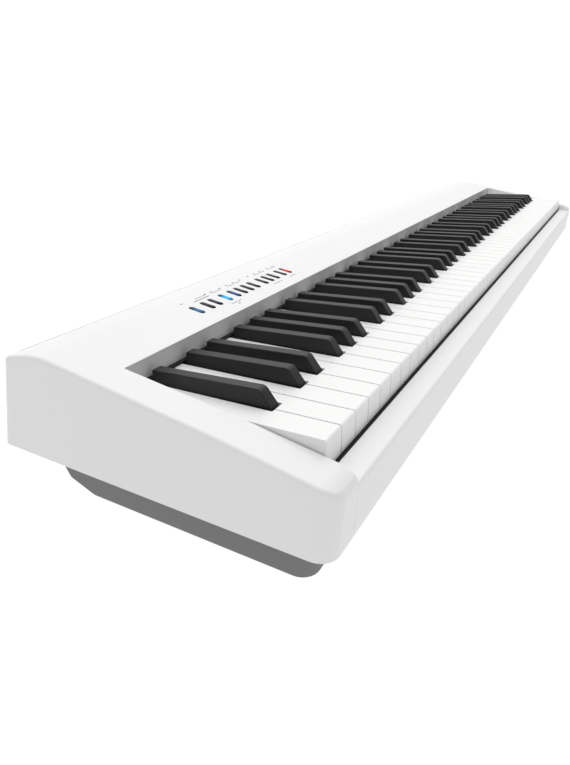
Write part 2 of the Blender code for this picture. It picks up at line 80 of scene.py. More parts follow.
def add_node(tree: bpy.types.NodeTree, kind: str, settings: dict[str, Any] | None = None,
             inputs: dict[Any, Any] | None = None) -> bpy.types.Node:
    """Add one node with its settings and links.

    Args:
        tree: node tree that receives the node.
        kind: node type name.
        settings: attributes of the node.
        inputs: input name or index to a value, or to an output socket to link.

    Returns:
        The new node.
    """
    node = tree.nodes.new(kind)
    for key, value in (settings or {}).items():
        setattr(node, key, value)
    for key, value in (inputs or {}).items():
        if isinstance(value, bpy.types.NodeSocket):
            tree.links.new(value, node.inputs[key])
        else:
            node.inputs[key].default_value = value
    return node


@dataclass(frozen=True)
class Datum:
    """Keyboard datum: front left top corner of the lowest white key, in the shared frame."""

    origin: Vector

    @classmethod
    def from_frame(cls) -> "Datum":
        """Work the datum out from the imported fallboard, rail and tray."""
        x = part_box("fallboard")[0].x
        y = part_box("front_rail")[0].y + mm(23.0)
        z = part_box("base_tray")[0].z + mm(107.0)
        return cls(Vector((x, y, z)))


DATUM = Datum.from_frame()


def arc(cx: float, cy: float, radius: float, start: float, end: float, steps: int) -> Outline:
    """Points of an arc.

    Args:
        cx: centre, first axis.
        cy: centre, second axis.
        radius: arc radius.
        start: first angle in degrees.
        end: last angle in degrees.
        steps: number of chords.

    Returns:
        The arc's points, ends included.
    """
    angles = [math.radians(start + (end - start) * i / steps) for i in range(steps + 1)]
    return [(cx + radius * math.cos(a), cy + radius * math.sin(a)) for a in angles]


def loft(bm: bmesh.types.BMesh, rings: list[list[tuple[float, float, float]]]) -> None:
    """Join matching rings of points into one closed body.

    Args:
        bm: bmesh that receives the body.
        rings: rings with the same number of points, from one end to the other.
    """
    made = [[bm.verts.new(p) for p in ring] for ring in rings]
    count = len(made[0])
    bm.faces.new(made[0])
    bm.faces.new(list(reversed(made[-1])))
    for low, high in zip(made, made[1:]):
        for i in range(count):
            j = (i + 1) % count
            bm.faces.new((low[j], low[i], high[i], high[j]))


def prism_x(outline: Outline, x0: float, x1: float) -> bmesh.types.BMesh:
    """Draw an outline out along X.

    Args:
        outline: (y, z) points.
        x0: first end.
        x1: second end.

    Returns:
        The prism.
    """
    bm = bmesh.new()
    loft(bm, [[(x, y, z) for y, z in outline] for x in (x0, x1)])
    return bm


def prism_z(outline: Outline, z0: float, z1: float,
            bm: bmesh.types.BMesh | None = None) -> bmesh.types.BMesh:
    """Draw an outline out along Z.

    Args:
        outline: (x, y) points.
        z0: lower end.
        z1: upper end.
        bm: bmesh that receives the prism; a new one when left out.

    Returns:
        The bmesh with the prism.
    """
    bm = bm or bmesh.new()
    loft(bm, [[(x, y, z) for x, y in outline] for z in (z0, z1)])
    return bm


def block(x: Point2, y: Point2, z: Point2,
          bm: bmesh.types.BMesh | None = None) -> bmesh.types.BMesh:
    """Make an axis-aligned block.

    Args:
        x: two ends along X.
        y: two ends along Y.
        z: two ends along Z.
        bm: bmesh that receives the block; a new one when left out.

    Returns:
        The bmesh with the block.
    """
    return prism_z([(x[0], y[0]), (x[1], y[0]), (x[1], y[1]), (x[0], y[1])], z[0], z[1], bm)


def turned(profile: Outline, steps: int) -> bmesh.types.BMesh:
    """Turn a profile about Z into a closed body.

    Args:
        profile: (radius, z) points that start and end on the axis.
        steps: number of sides.

    Returns:
        The turned body.
    """
    bm = bmesh.new()
    rings = []
    for radius, z in profile[1:-1]:
        ring = arc(0.0, 0.0, radius, 0.0, 360.0 * (steps - 1) / steps, steps - 1)
        rings.append([bm.verts.new((x, y, z)) for x, y in ring])
    first = bm.verts.new((0.0, 0.0, profile[0][1]))
    last = bm.verts.new((0.0, 0.0, profile[-1][1]))
    for i in range(steps):
        j = (i + 1) % steps
        bm.faces.new((first, rings[0][i], rings[0][j]))
        bm.faces.new((last, rings[-1][j], rings[-1][i]))
        for upper, lower in zip(rings, rings[1:]):
            bm.faces.new((upper[i], lower[i], lower[j], upper[j]))
    return bm


def round_edges(bm: bmesh.types.BMesh, test: Callable[[bmesh.types.BMEdge], bool],
                radius: float, steps: int) -> None:
    """Round some edges of a body.

    Args:
        bm: body that is changed.
        test: says whether an edge is rounded.
        radius: radius of the rounding.
        steps: number of strips across it.
    """
    bmesh.ops.recalc_face_normals(bm, faces=bm.faces[:])
    bm.normal_update()
    bmesh.ops.bevel(bm, geom=[e for e in bm.edges if test(e)], offset=radius, segments=steps,
                    profile=0.5, affect="EDGES", clamp_overlap=True)


def is_upright(edge: bmesh.types.BMEdge) -> bool:
    """True for an edge that runs mostly up and keeps its x."""
    a, b = (v.co for v in edge.verts)
    return abs(a.x - b.x) < 1e-6 and abs(a.z - b.z) > abs(a.y - b.y) * 2


def to_object(name: str, bm: bmesh.types.BMesh) -> bpy.types.Object:
    """Link a bmesh as an object with outward faces."""
    bmesh.ops.recalc_face_normals(bm, faces=bm.faces[:])
    mesh = bpy.data.meshes.new(name)
    bm.to_mesh(mesh)
    bm.free()
    obj = bpy.data.objects.new(name, mesh)
    bpy.context.scene.collection.objects.link(obj)
    return obj


def settle(obj: bpy.types.Object) -> bpy.types.Object:
    """Turn the object's modifiers into its plain mesh."""
    graph = bpy.context.evaluated_depsgraph_get()
    graph.update()
    mesh = bpy.data.meshes.new_from_object(obj.evaluated_get(graph),
                                           preserve_all_data_layers=True, depsgraph=graph)
    obj.modifiers.clear()
    obj.data = mesh
    mesh.name = obj.name
    return obj


def carve(obj: bpy.types.Object, cutter: bmesh.types.BMesh | bpy.types.Object,
          operation: str = "DIFFERENCE") -> bpy.types.Object:
    """Cut a shape out of the object, or join it on.

    Args:
        obj: piece that is cut.
        cutter: shape that cuts; it is used up.
        operation: Boolean operation name.

    Returns:
        The piece with its new mesh.
    """
    tool = cutter if isinstance(cutter, bpy.types.Object) else to_object("cutter", cutter)
    change = obj.modifiers.new("carve", "BOOLEAN")
    change.operation = operation
    change.solver = "EXACT"
    change.object = tool
    settle(obj)
    bpy.data.objects.remove(tool, do_unlink=True)
    return obj


def soften(obj: bpy.types.Object, width: float, steps: int = 2,
           limit: float = 35.0) -> bpy.types.Object:
    """Break the sharp edges and even out the shading of flat faces.

    Args:
        obj: piece that is changed.
        width: width of the broken edge, or 0 for none.
        steps: number of strips across it.
        limit: least angle in degrees at which an edge counts as sharp.

    Returns:
        The piece with its new mesh.
    """
    if width > 0.0:
        edge = obj.modifiers.new("edge", "BEVEL")
        edge.width = width
        edge.segments = steps
        edge.limit_method = "ANGLE"
        edge.angle_limit = math.radians(limit)
    obj.data.shade_smooth()
    shading = obj.modifiers.new("shading", "WEIGHTED_NORMAL")
    shading.weight = 80
    shading.keep_sharp = False
    return settle(obj)


def shift_to_datum(obj: bpy.types.Object, matrix: Matrix | None = None) -> bpy.types.Object:
    """Move a mesh built round the keyboard datum to its place in the shared frame.

    Args:
        obj: piece that is moved.
        matrix: place of the piece at the datum, when it was built round another point.

    Returns:
        The same piece.
    """
    obj.data.transform(Matrix.Translation(DATUM.origin) @ (matrix or Matrix.Identity(4)))
    return obj


def hand_over(obj: bpy.types.Object, body: str, material: bpy.types.Material,
              replaces: Iterable[str] = ()) -> bpy.types.Object:
    """Dress a finished piece and tie it to its body.

    Args:
        obj: finished piece.
        body: body that it rides on.
        material: finish that it wears.
        replaces: CAD nodes that it stands for.

    Returns:
        The same piece.
    """
    obj.data.materials.clear()
    obj.data.materials.append(material)
    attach(obj, body)
    names = list(replaces)
    if names:
        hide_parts(*names)
    LOG.info("%s rides on %s, %d faces", obj.name, body, len(obj.data.polygons))
    return obj


# ---- finishes --------------------------------------------------------------------------------
@dataclass(frozen=True)
class MouldedFinish:
    """Injection-moulded plastic or rubber with the fine grain of a spark-eroded mould."""

    name: str
    colour: str
    cloud: str
    roughness: float
    grain: float
    depth: float

    def make(self) -> bpy.types.Material:
        """Return the node material."""
        mat = bpy.data.materials.new(self.name)
        mat.use_nodes = True
        tree = mat.node_tree
        shader = tree.nodes["Principled BSDF"]
        place = add_node(tree, "ShaderNodeTexCoord").outputs["Object"]
        clouds = add_node(tree, "ShaderNodeTexNoise", inputs={
            "Vector": place, "Scale": per_mm(60.0), "Detail": 2.0})
        tint = add_node(tree, "ShaderNodeMix", {"data_type": "RGBA"}, {
            "Factor": clouds.outputs["Fac"], 6: hex_linear(self.colour),
            7: hex_linear(self.cloud)})
        grain = add_node(tree, "ShaderNodeTexNoise", inputs={
            "Vector": place, "Scale": per_mm(self.grain), "Detail": 3.0, "Roughness": 0.6})
        gloss = add_node(tree, "ShaderNodeMapRange", inputs={
            "Value": grain.outputs["Fac"], "To Min": self.roughness - 0.04,
            "To Max": self.roughness + 0.05})
        relief = add_node(tree, "ShaderNodeBump", inputs={
            "Height": grain.outputs["Fac"], "Strength": 0.25, "Distance": mm(self.depth)})
        tree.links.new(tint.outputs[2], shader.inputs["Base Color"])
        tree.links.new(gloss.outputs["Result"], shader.inputs["Roughness"])
        tree.links.new(relief.outputs["Normal"], shader.inputs["Normal"])
        shader.inputs["IOR"].default_value = 1.5
        return mat


@dataclass(frozen=True)
class FeltFinish:
    """Pressed wool felt: matt, with short crossing fibres that break up its edge."""

    name: str
    colour: str
    fibre: str

    def make(self) -> bpy.types.Material:
        """Return the node material."""
        mat = bpy.data.materials.new(self.name)
        mat.use_nodes = True
        tree = mat.node_tree
        shader = tree.nodes["Principled BSDF"]
        place = add_node(tree, "ShaderNodeTexCoord").outputs["Object"]
        drawn = add_node(tree, "ShaderNodeMapping", inputs={
            "Vector": place, "Scale": (0.2, 1.0, 1.0)})
        fibres = add_node(tree, "ShaderNodeTexNoise", inputs={
            "Vector": drawn.outputs["Vector"], "Scale": per_mm(0.6), "Detail": 4.0})
        tint = add_node(tree, "ShaderNodeMix", {"data_type": "RGBA"}, {
            "Factor": fibres.outputs["Fac"], 6: hex_linear(self.colour),
            7: hex_linear(self.fibre)})
        relief = add_node(tree, "ShaderNodeBump", inputs={
            "Height": fibres.outputs["Fac"], "Strength": 0.8, "Distance": mm(0.3)})
        tree.links.new(tint.outputs[2], shader.inputs["Base Color"])
        tree.links.new(relief.outputs["Normal"], shader.inputs["Normal"])
        shader.inputs["Roughness"].default_value = 0.95
        shader.inputs["Sheen Weight"].default_value = 0.05
        return mat


@dataclass(frozen=True)
class SheetMetalFinish:
    """Rolled sheet metal, plated or painted: faint lines along the rolling direction."""

    name: str
    colour: str
    streak: str
    roughness: float
    metallic: float

    def make(self) -> bpy.types.Material:
        """Return the node material."""
        mat = bpy.data.materials.new(self.name)
        mat.use_nodes = True
        tree = mat.node_tree
        shader = tree.nodes["Principled BSDF"]
        place = add_node(tree, "ShaderNodeTexCoord").outputs["Object"]
        drawn = add_node(tree, "ShaderNodeMapping", inputs={
            "Vector": place, "Scale": (0.02, 1.0, 1.0)})
        lines = add_node(tree, "ShaderNodeTexNoise", inputs={
            "Vector": drawn.outputs["Vector"], "Scale": per_mm(0.8), "Detail": 3.0})
        tint = add_node(tree, "ShaderNodeMix", {"data_type": "RGBA"}, {
            "Factor": lines.outputs["Fac"], 6: hex_linear(self.colour),
            7: hex_linear(self.streak)})
        gloss = add_node(tree, "ShaderNodeMapRange", inputs={
            "Value": lines.outputs["Fac"], "To Min": self.roughness - 0.08,
            "To Max": self.roughness + 0.08})
        tree.links.new(tint.outputs[2], shader.inputs["Base Color"])
        tree.links.new(gloss.outputs["Result"], shader.inputs["Roughness"])
        shader.inputs["Metallic"].default_value = self.metallic
        return mat


@dataclass(frozen=True)
class BoardFinish:
    """Glass-fibre circuit board: solder mask over copper tracks that show as paler squares."""

    name: str
    mask: str
    track: str

    def make(self) -> bpy.types.Material:
        """Return the node material."""
        mat = bpy.data.materials.new(self.name)
        mat.use_nodes = True
        tree = mat.node_tree
        shader = tree.nodes["Principled BSDF"]
        place = add_node(tree, "ShaderNodeTexCoord").outputs["Object"]
        tracks = add_node(tree, "ShaderNodeTexBrick", inputs={
            "Vector": place, "Scale": per_mm(8.0), "Mortar Size": 0.04,
            "Color1": hex_linear(self.mask), "Color2": hex_linear(self.mask),
            "Mortar": hex_linear(self.track)})
        tree.links.new(tracks.outputs["Color"], shader.inputs["Base Color"])
        shader.inputs["Roughness"].default_value = 0.35
        return mat


@dataclass(frozen=True)
class InkFinish:
    """Pad-printed ink: matt grey with the slight mottling of a thin printed film."""

    name: str
    colour: str
    thin: str

    def make(self) -> bpy.types.Material:
        """Return the node material."""
        mat = bpy.data.materials.new(self.name)
        mat.use_nodes = True
        tree = mat.node_tree
        shader = tree.nodes["Principled BSDF"]
        place = add_node(tree, "ShaderNodeTexCoord").outputs["Object"]
        mottle = add_node(tree, "ShaderNodeTexNoise", inputs={
            "Vector": place, "Scale": per_mm(0.4), "Detail": 2.0})
        tint = add_node(tree, "ShaderNodeMix", {"data_type": "RGBA"}, {
            "Factor": mottle.outputs["Fac"], 6: hex_linear(self.colour),
            7: hex_linear(self.thin)})
        tree.links.new(tint.outputs[2], shader.inputs["Base Color"])
        shader.inputs["Roughness"].default_value = 0.7
        return mat


class Lamp(Enum):
    """State of the light under a button: sRGB glow and its strength. OFF has no glow; its colour
    only lightens the base colour along the band, as a painted highlight.
    """

    # OFF: unlit; its colour serves only as a painted highlight in the base colour
    OFF = ("#26282A", 0.0)
    PALE_BLUE = ("#3F6F9C", 0.35)
    INDIGO = ("#332F4E", 0.12)
    CYAN = ("#10A6E0", 0.8)
    BLUE = ("#27528E", 0.3)
    RED = ("#C41416", 0.5)


@dataclass(frozen=True)
class ButtonFinish:
    """Smoke-tinted polycarbonate over a light guide: nearly black, lit from its near end. The lit
    band is also painted into the base colour: painted glow on lit buttons, painted highlight on
    unlit ones.
    """

    lamp: Lamp
    near: float
    far: float

    def make(self) -> bpy.types.Material:
        """Return the node material, reused when the lamp state already has one."""
        name = "smoked_polycarbonate_" + self.lamp.name.lower()
        if name in bpy.data.materials:
            return bpy.data.materials[name]
        glow, strength = self.lamp.value
        mat = bpy.data.materials.new(name)
        mat.use_nodes = True
        tree = mat.node_tree
        shader = tree.nodes["Principled BSDF"]
        place = add_node(tree, "ShaderNodeTexCoord").outputs["Object"]
        axes = add_node(tree, "ShaderNodeSeparateXYZ", inputs={0: place})
        middle = self.near * 0.55 + self.far * 0.45
        rise = add_node(tree, "ShaderNodeMapRange", {"interpolation_type": "SMOOTHSTEP"}, {
            "Value": axes.outputs["Y"], "From Min": middle, "From Max": self.far,
            "To Min": 1.0, "To Max": 0.0})
        fade = add_node(tree, "ShaderNodeMapRange", {"interpolation_type": "SMOOTHSTEP"}, {
            "Value": axes.outputs["Y"], "From Min": self.near, "From Max": middle,
            "To Min": 0.35, "To Max": 1.0})
        haze = add_node(tree, "ShaderNodeTexNoise", inputs={
            "Vector": place, "Scale": per_mm(1.5), "Detail": 2.0})
        veil = add_node(tree, "ShaderNodeMapRange", inputs={
            "Value": haze.outputs["Fac"], "To Min": 0.85, "To Max": 1.0})
        shaped = add_node(tree, "ShaderNodeMath", {"operation": "MULTIPLY"}, {
            0: rise.outputs["Result"], 1: fade.outputs["Result"]})
        light = add_node(tree, "ShaderNodeMath", {"operation": "MULTIPLY"}, {
            0: shaped.outputs["Value"], 1: veil.outputs["Result"]})
        # Base colour lightened towards the lamp colour along the band: painted glow and painted
        # highlight, on top of the emission
        tint = add_node(tree, "ShaderNodeMix", {"data_type": "RGBA"}, {
            "Factor": light.outputs["Value"], 6: hex_linear("#0B0B0D"), 7: hex_linear(glow)})
        dark = add_node(tree, "ShaderNodeMix", {"data_type": "RGBA"}, {
            "Factor": light.outputs["Value"], 6: hex_linear("#000000"), 7: hex_linear(glow)})
        tree.links.new(tint.outputs[2], shader.inputs["Base Color"])
        tree.links.new(dark.outputs[2], shader.inputs["Emission Color"])
        shader.inputs["Emission Strength"].default_value = strength
        shader.inputs["Roughness"].default_value = 0.3
        shader.inputs["Specular IOR Level"].default_value = 0.06
        return mat


@dataclass
class Finishes:
    """All finishes of the instrument, made once."""

    # ABS moulded in an eroded mould: a soft sheen with no sharp mirror image.
    case: bpy.types.Material = field(default_factory=lambda: MouldedFinish(
        "satin_white_abs", "#F1F1F1", "#EEEEEE", 0.42, 0.7, 0.02).make())
    # The same ABS left matt behind the keys, its colour darkened as painted shade for the recess.
    fallboard: bpy.types.Material = field(default_factory=lambda: MouldedFinish(
        "matt_white_abs", "#D6D6D6", "#CECECE", 0.6, 0.6, 0.03).make())
    # Grey ABS with a coarser grain that hides scuffs.
    tray: bpy.types.Material = field(default_factory=lambda: MouldedFinish(
        "grained_grey_abs", "#7E7E7E", "#797979", 0.6, 1.1, 0.05).make())
    # Acrylic key covers: bright, smooth and slightly glossy.
    ivory: bpy.types.Material = field(default_factory=lambda: MouldedFinish(
        "white_key_acrylic", "#F7F7F6", "#F4F4F3", 0.32, 0.5, 0.01).make())
    # Textured phenolic-look covers: dull black with a grey bloom where light grazes.
    ebony: bpy.types.Material = field(default_factory=lambda: MouldedFinish(
        "matt_black_key_cover", "#141414", "#101010", 0.5, 0.6, 0.04).make())
    # Moulded rubber: dull and dark.
    rubber: bpy.types.Material = field(default_factory=lambda: MouldedFinish(
        "moulded_black_rubber", "#1E1E1E", "#262626", 0.85, 0.9, 0.05).make())
    # Glass-filled nylon: dark with a dry surface.
    nylon: bpy.types.Material = field(default_factory=lambda: MouldedFinish(
        "glass_filled_nylon", "#181818", "#202020", 0.6, 0.5, 0.03).make())
    # Pressed wool felt: black, with no shine at all.
    felt: bpy.types.Material = field(default_factory=lambda: FeltFinish(
        "black_wool_felt", "#060606", "#151515").make())
    # Rolled steel sheet with bright zinc plating.
    zinc: bpy.types.Material = field(default_factory=lambda: SheetMetalFinish(
        "zinc_plated_steel", "#B9BCC0", "#A4A8AD", 0.42, 1.0).make())
    # Pressed steel basket under a thin coat of black paint.
    driver: bpy.types.Material = field(default_factory=lambda: SheetMetalFinish(
        "painted_speaker_basket", "#222224", "#2A2A2C", 0.5, 0.0).make())
    # Perforated steel sheet, powder painted black.
    grille: bpy.types.Material = field(default_factory=lambda: SheetMetalFinish(
        "painted_perforated_steel", "#1B1B1C", "#232324", 0.5, 0.0).make())
    # Steel blackened in hot salts: dark, with a metal sheen.
    screw: bpy.types.Material = field(default_factory=lambda: SheetMetalFinish(
        "black_oxide_steel", "#2C2C2E", "#38383B", 0.45, 1.0).make())
    # Glass-fibre laminate under green solder mask.
    board: bpy.types.Material = field(default_factory=lambda: BoardFinish(
        "green_circuit_board", "#0E5A2C", "#2E8A4E").make())
    # Pad-printing ink, one thin dark grey coat.
    ink: bpy.types.Material = field(default_factory=lambda: InkFinish(
        "grey_pad_print", "#3C3C3C", "#565656").make())
    # Grey strip along the back edge of the panel: painted shade for the rounded edge turning away,
    # not a part of its own.
    shade_line: bpy.types.Material = field(default_factory=lambda: MouldedFinish(
        "grey_elastomer_bead", "#A8A8A8", "#7E7E7E", 0.7, 0.5, 0.02).make())


# ---- repeated pieces by Geometry Nodes -------------------------------------------------------
class Repeater:
    """Geometry Nodes trees that set copies of a template on points."""

    @staticmethod
    def open_tree(name: str, sockets: dict[str, str]) -> tuple[bpy.types.NodeTree, Any, dict]:
        """Start a tree with its interface.

        Args:
            name: tree name.
            sockets: input name to socket type.

        Returns:
            The tree, its group input node and input name to identifier.
        """
        tree = bpy.data.node_groups.new(name, "GeometryNodeTree")
        tree.interface.new_socket("Geometry", in_out="INPUT", socket_type="NodeSocketGeometry")
        ids = {}
        for label, kind in sockets.items():
            made = tree.interface.new_socket(label, in_out="INPUT", socket_type=kind)
            ids[label] = made.identifier
        tree.interface.new_socket("Geometry", in_out="OUTPUT", socket_type="NodeSocketGeometry")
        return tree, tree.nodes.new("NodeGroupInput"), ids

    @staticmethod
    def close_tree(tree: bpy.types.NodeTree, source: Any, instances: Any,
                   weld: float = 0.0) -> None:
        """End a tree in Realize Instances and Set Material.

        Args:
            tree: tree that is finished.
            source: its group input node.
            instances: output socket with the instances.
            weld: distance within which points are joined, or 0 for none.
        """
        plain = add_node(tree, "GeometryNodeRealizeInstances", inputs={0: instances})
        last = plain.outputs[0]
        if weld > 0.0:
            last = add_node(tree, "GeometryNodeMergeByDistance", inputs={
                "Geometry": last, "Distance": weld}).outputs[0]
        dressed = add_node(tree, "GeometryNodeSetMaterial", inputs={
            "Geometry": last, "Material": source.outputs["Finish"]})
        add_node(tree, "NodeGroupOutput", inputs={0: dressed.outputs[0]})

    @classmethod
    def on_points(cls, name: str, points: list[Vector], template: bpy.types.Object,
                  material: bpy.types.Material) -> bpy.types.Object:
        """Set the template on each point and return one plain mesh piece.

        Args:
            name: piece name.
            points: places in the shared frame.
            template: shape built round the origin.
            material: finish.

        Returns:
            The finished piece.
        """
        mesh = bpy.data.meshes.new(name)
        mesh.from_pydata([tuple(p) for p in points], [], [])
        obj = bpy.data.objects.new(name, mesh)
        bpy.context.scene.collection.objects.link(obj)
        tree, source, ids = cls.open_tree(name + "_tree", {
            "Template": "NodeSocketObject", "Finish": "NodeSocketMaterial"})
        shape = add_node(tree, "GeometryNodeObjectInfo", inputs={
            "Object": source.outputs["Template"]})
        spread = add_node(tree, "GeometryNodeInstanceOnPoints", inputs={
            "Points": source.outputs["Geometry"], "Instance": shape.outputs["Geometry"]})
        cls.close_tree(tree, source, spread.outputs[0])
        change = obj.modifiers.new("repeat", "NODES")
        change.node_group = tree
        change[ids["Template"]] = template
        change[ids["Finish"]] = material
        return settle(obj)

    @classmethod
    def perforated_disc(cls, name: str, radius: float, pitch: float, cell: bpy.types.Object,
                        material: bpy.types.Material) -> bpy.types.Object:
        """Fill a disc with pierced hexagon cells.

        Args:
            name: piece name.
            radius: disc radius.
            pitch: distance between holes.
            cell: one pierced cell round the origin.
            material: finish.

        Returns:
            The finished piece, round the origin.
        """
        obj = bpy.data.objects.new(name, bpy.data.meshes.new(name))
        bpy.context.scene.collection.objects.link(obj)
        tree, source, ids = cls.open_tree(name + "_tree", {
            "Radius": "NodeSocketFloat", "Pitch": "NodeSocketFloat", "Columns": "NodeSocketInt",
            "Rows": "NodeSocketInt", "Cell": "NodeSocketObject",
            "Finish": "NodeSocketMaterial"})
        rise = math.sqrt(3.0) / 2.0
        columns = 2 * int(radius / (pitch * rise)) + 1
        rows = 2 * int(radius / pitch) + 1
        wide = add_node(tree, "ShaderNodeMath", {"operation": "MULTIPLY"}, {
            0: source.outputs["Pitch"], 1: rise * (columns - 1)})
        deep = add_node(tree, "ShaderNodeMath", {"operation": "MULTIPLY"}, {
            0: source.outputs["Pitch"], 1: float(rows - 1)})
        grid = add_node(tree, "GeometryNodeMeshGrid", inputs={
            "Size X": wide.outputs[0], "Size Y": deep.outputs[0],
            "Vertices X": source.outputs["Columns"], "Vertices Y": source.outputs["Rows"]})
        index = add_node(tree, "GeometryNodeInputIndex")
        column = add_node(tree, "ShaderNodeMath", {"operation": "DIVIDE"}, {
            0: index.outputs[0], 1: source.outputs["Rows"]})
        whole = add_node(tree, "ShaderNodeMath", {"operation": "FLOOR"}, {0: column.outputs[0]})
        parity = add_node(tree, "ShaderNodeMath", {"operation": "FLOORED_MODULO"}, {
            0: whole.outputs[0], 1: 2.0})
        half = add_node(tree, "ShaderNodeMath", {"operation": "MULTIPLY"}, {
            0: parity.outputs[0], 1: source.outputs["Pitch"]})
        stagger = add_node(tree, "ShaderNodeMath", {"operation": "MULTIPLY"}, {
            0: half.outputs[0], 1: 0.5})
        offset = add_node(tree, "ShaderNodeCombineXYZ", inputs={"Y": stagger.outputs[0]})
        moved = add_node(tree, "GeometryNodeSetPosition", inputs={
            "Geometry": grid.outputs["Mesh"], "Offset": offset.outputs[0]})
        where = add_node(tree, "GeometryNodeInputPosition")
        reach = add_node(tree, "ShaderNodeVectorMath", {"operation": "LENGTH"}, {
            0: where.outputs[0]})
        outside = add_node(tree, "FunctionNodeCompare", {"operation": "GREATER_THAN"}, {
            0: reach.outputs["Value"], 1: source.outputs["Radius"]})
        kept = add_node(tree, "GeometryNodeDeleteGeometry", inputs={
            "Geometry": moved.outputs[0], "Selection": outside.outputs[0]})
        shape = add_node(tree, "GeometryNodeObjectInfo", inputs={
            "Object": source.outputs["Cell"]})
        spread = add_node(tree, "GeometryNodeInstanceOnPoints", inputs={
            "Points": kept.outputs[0], "Instance": shape.outputs["Geometry"]})
        cls.close_tree(tree, source, spread.outputs[0])
        change = obj.modifiers.new("repeat", "NODES")
        change.node_group = tree
        change[ids["Radius"]] = radius - pitch * 0.6
        change[ids["Pitch"]] = pitch
        change[ids["Columns"]] = columns
        change[ids["Rows"]] = rows
        change[ids["Cell"]] = cell
        change[ids["Finish"]] = material
        return settle(obj)


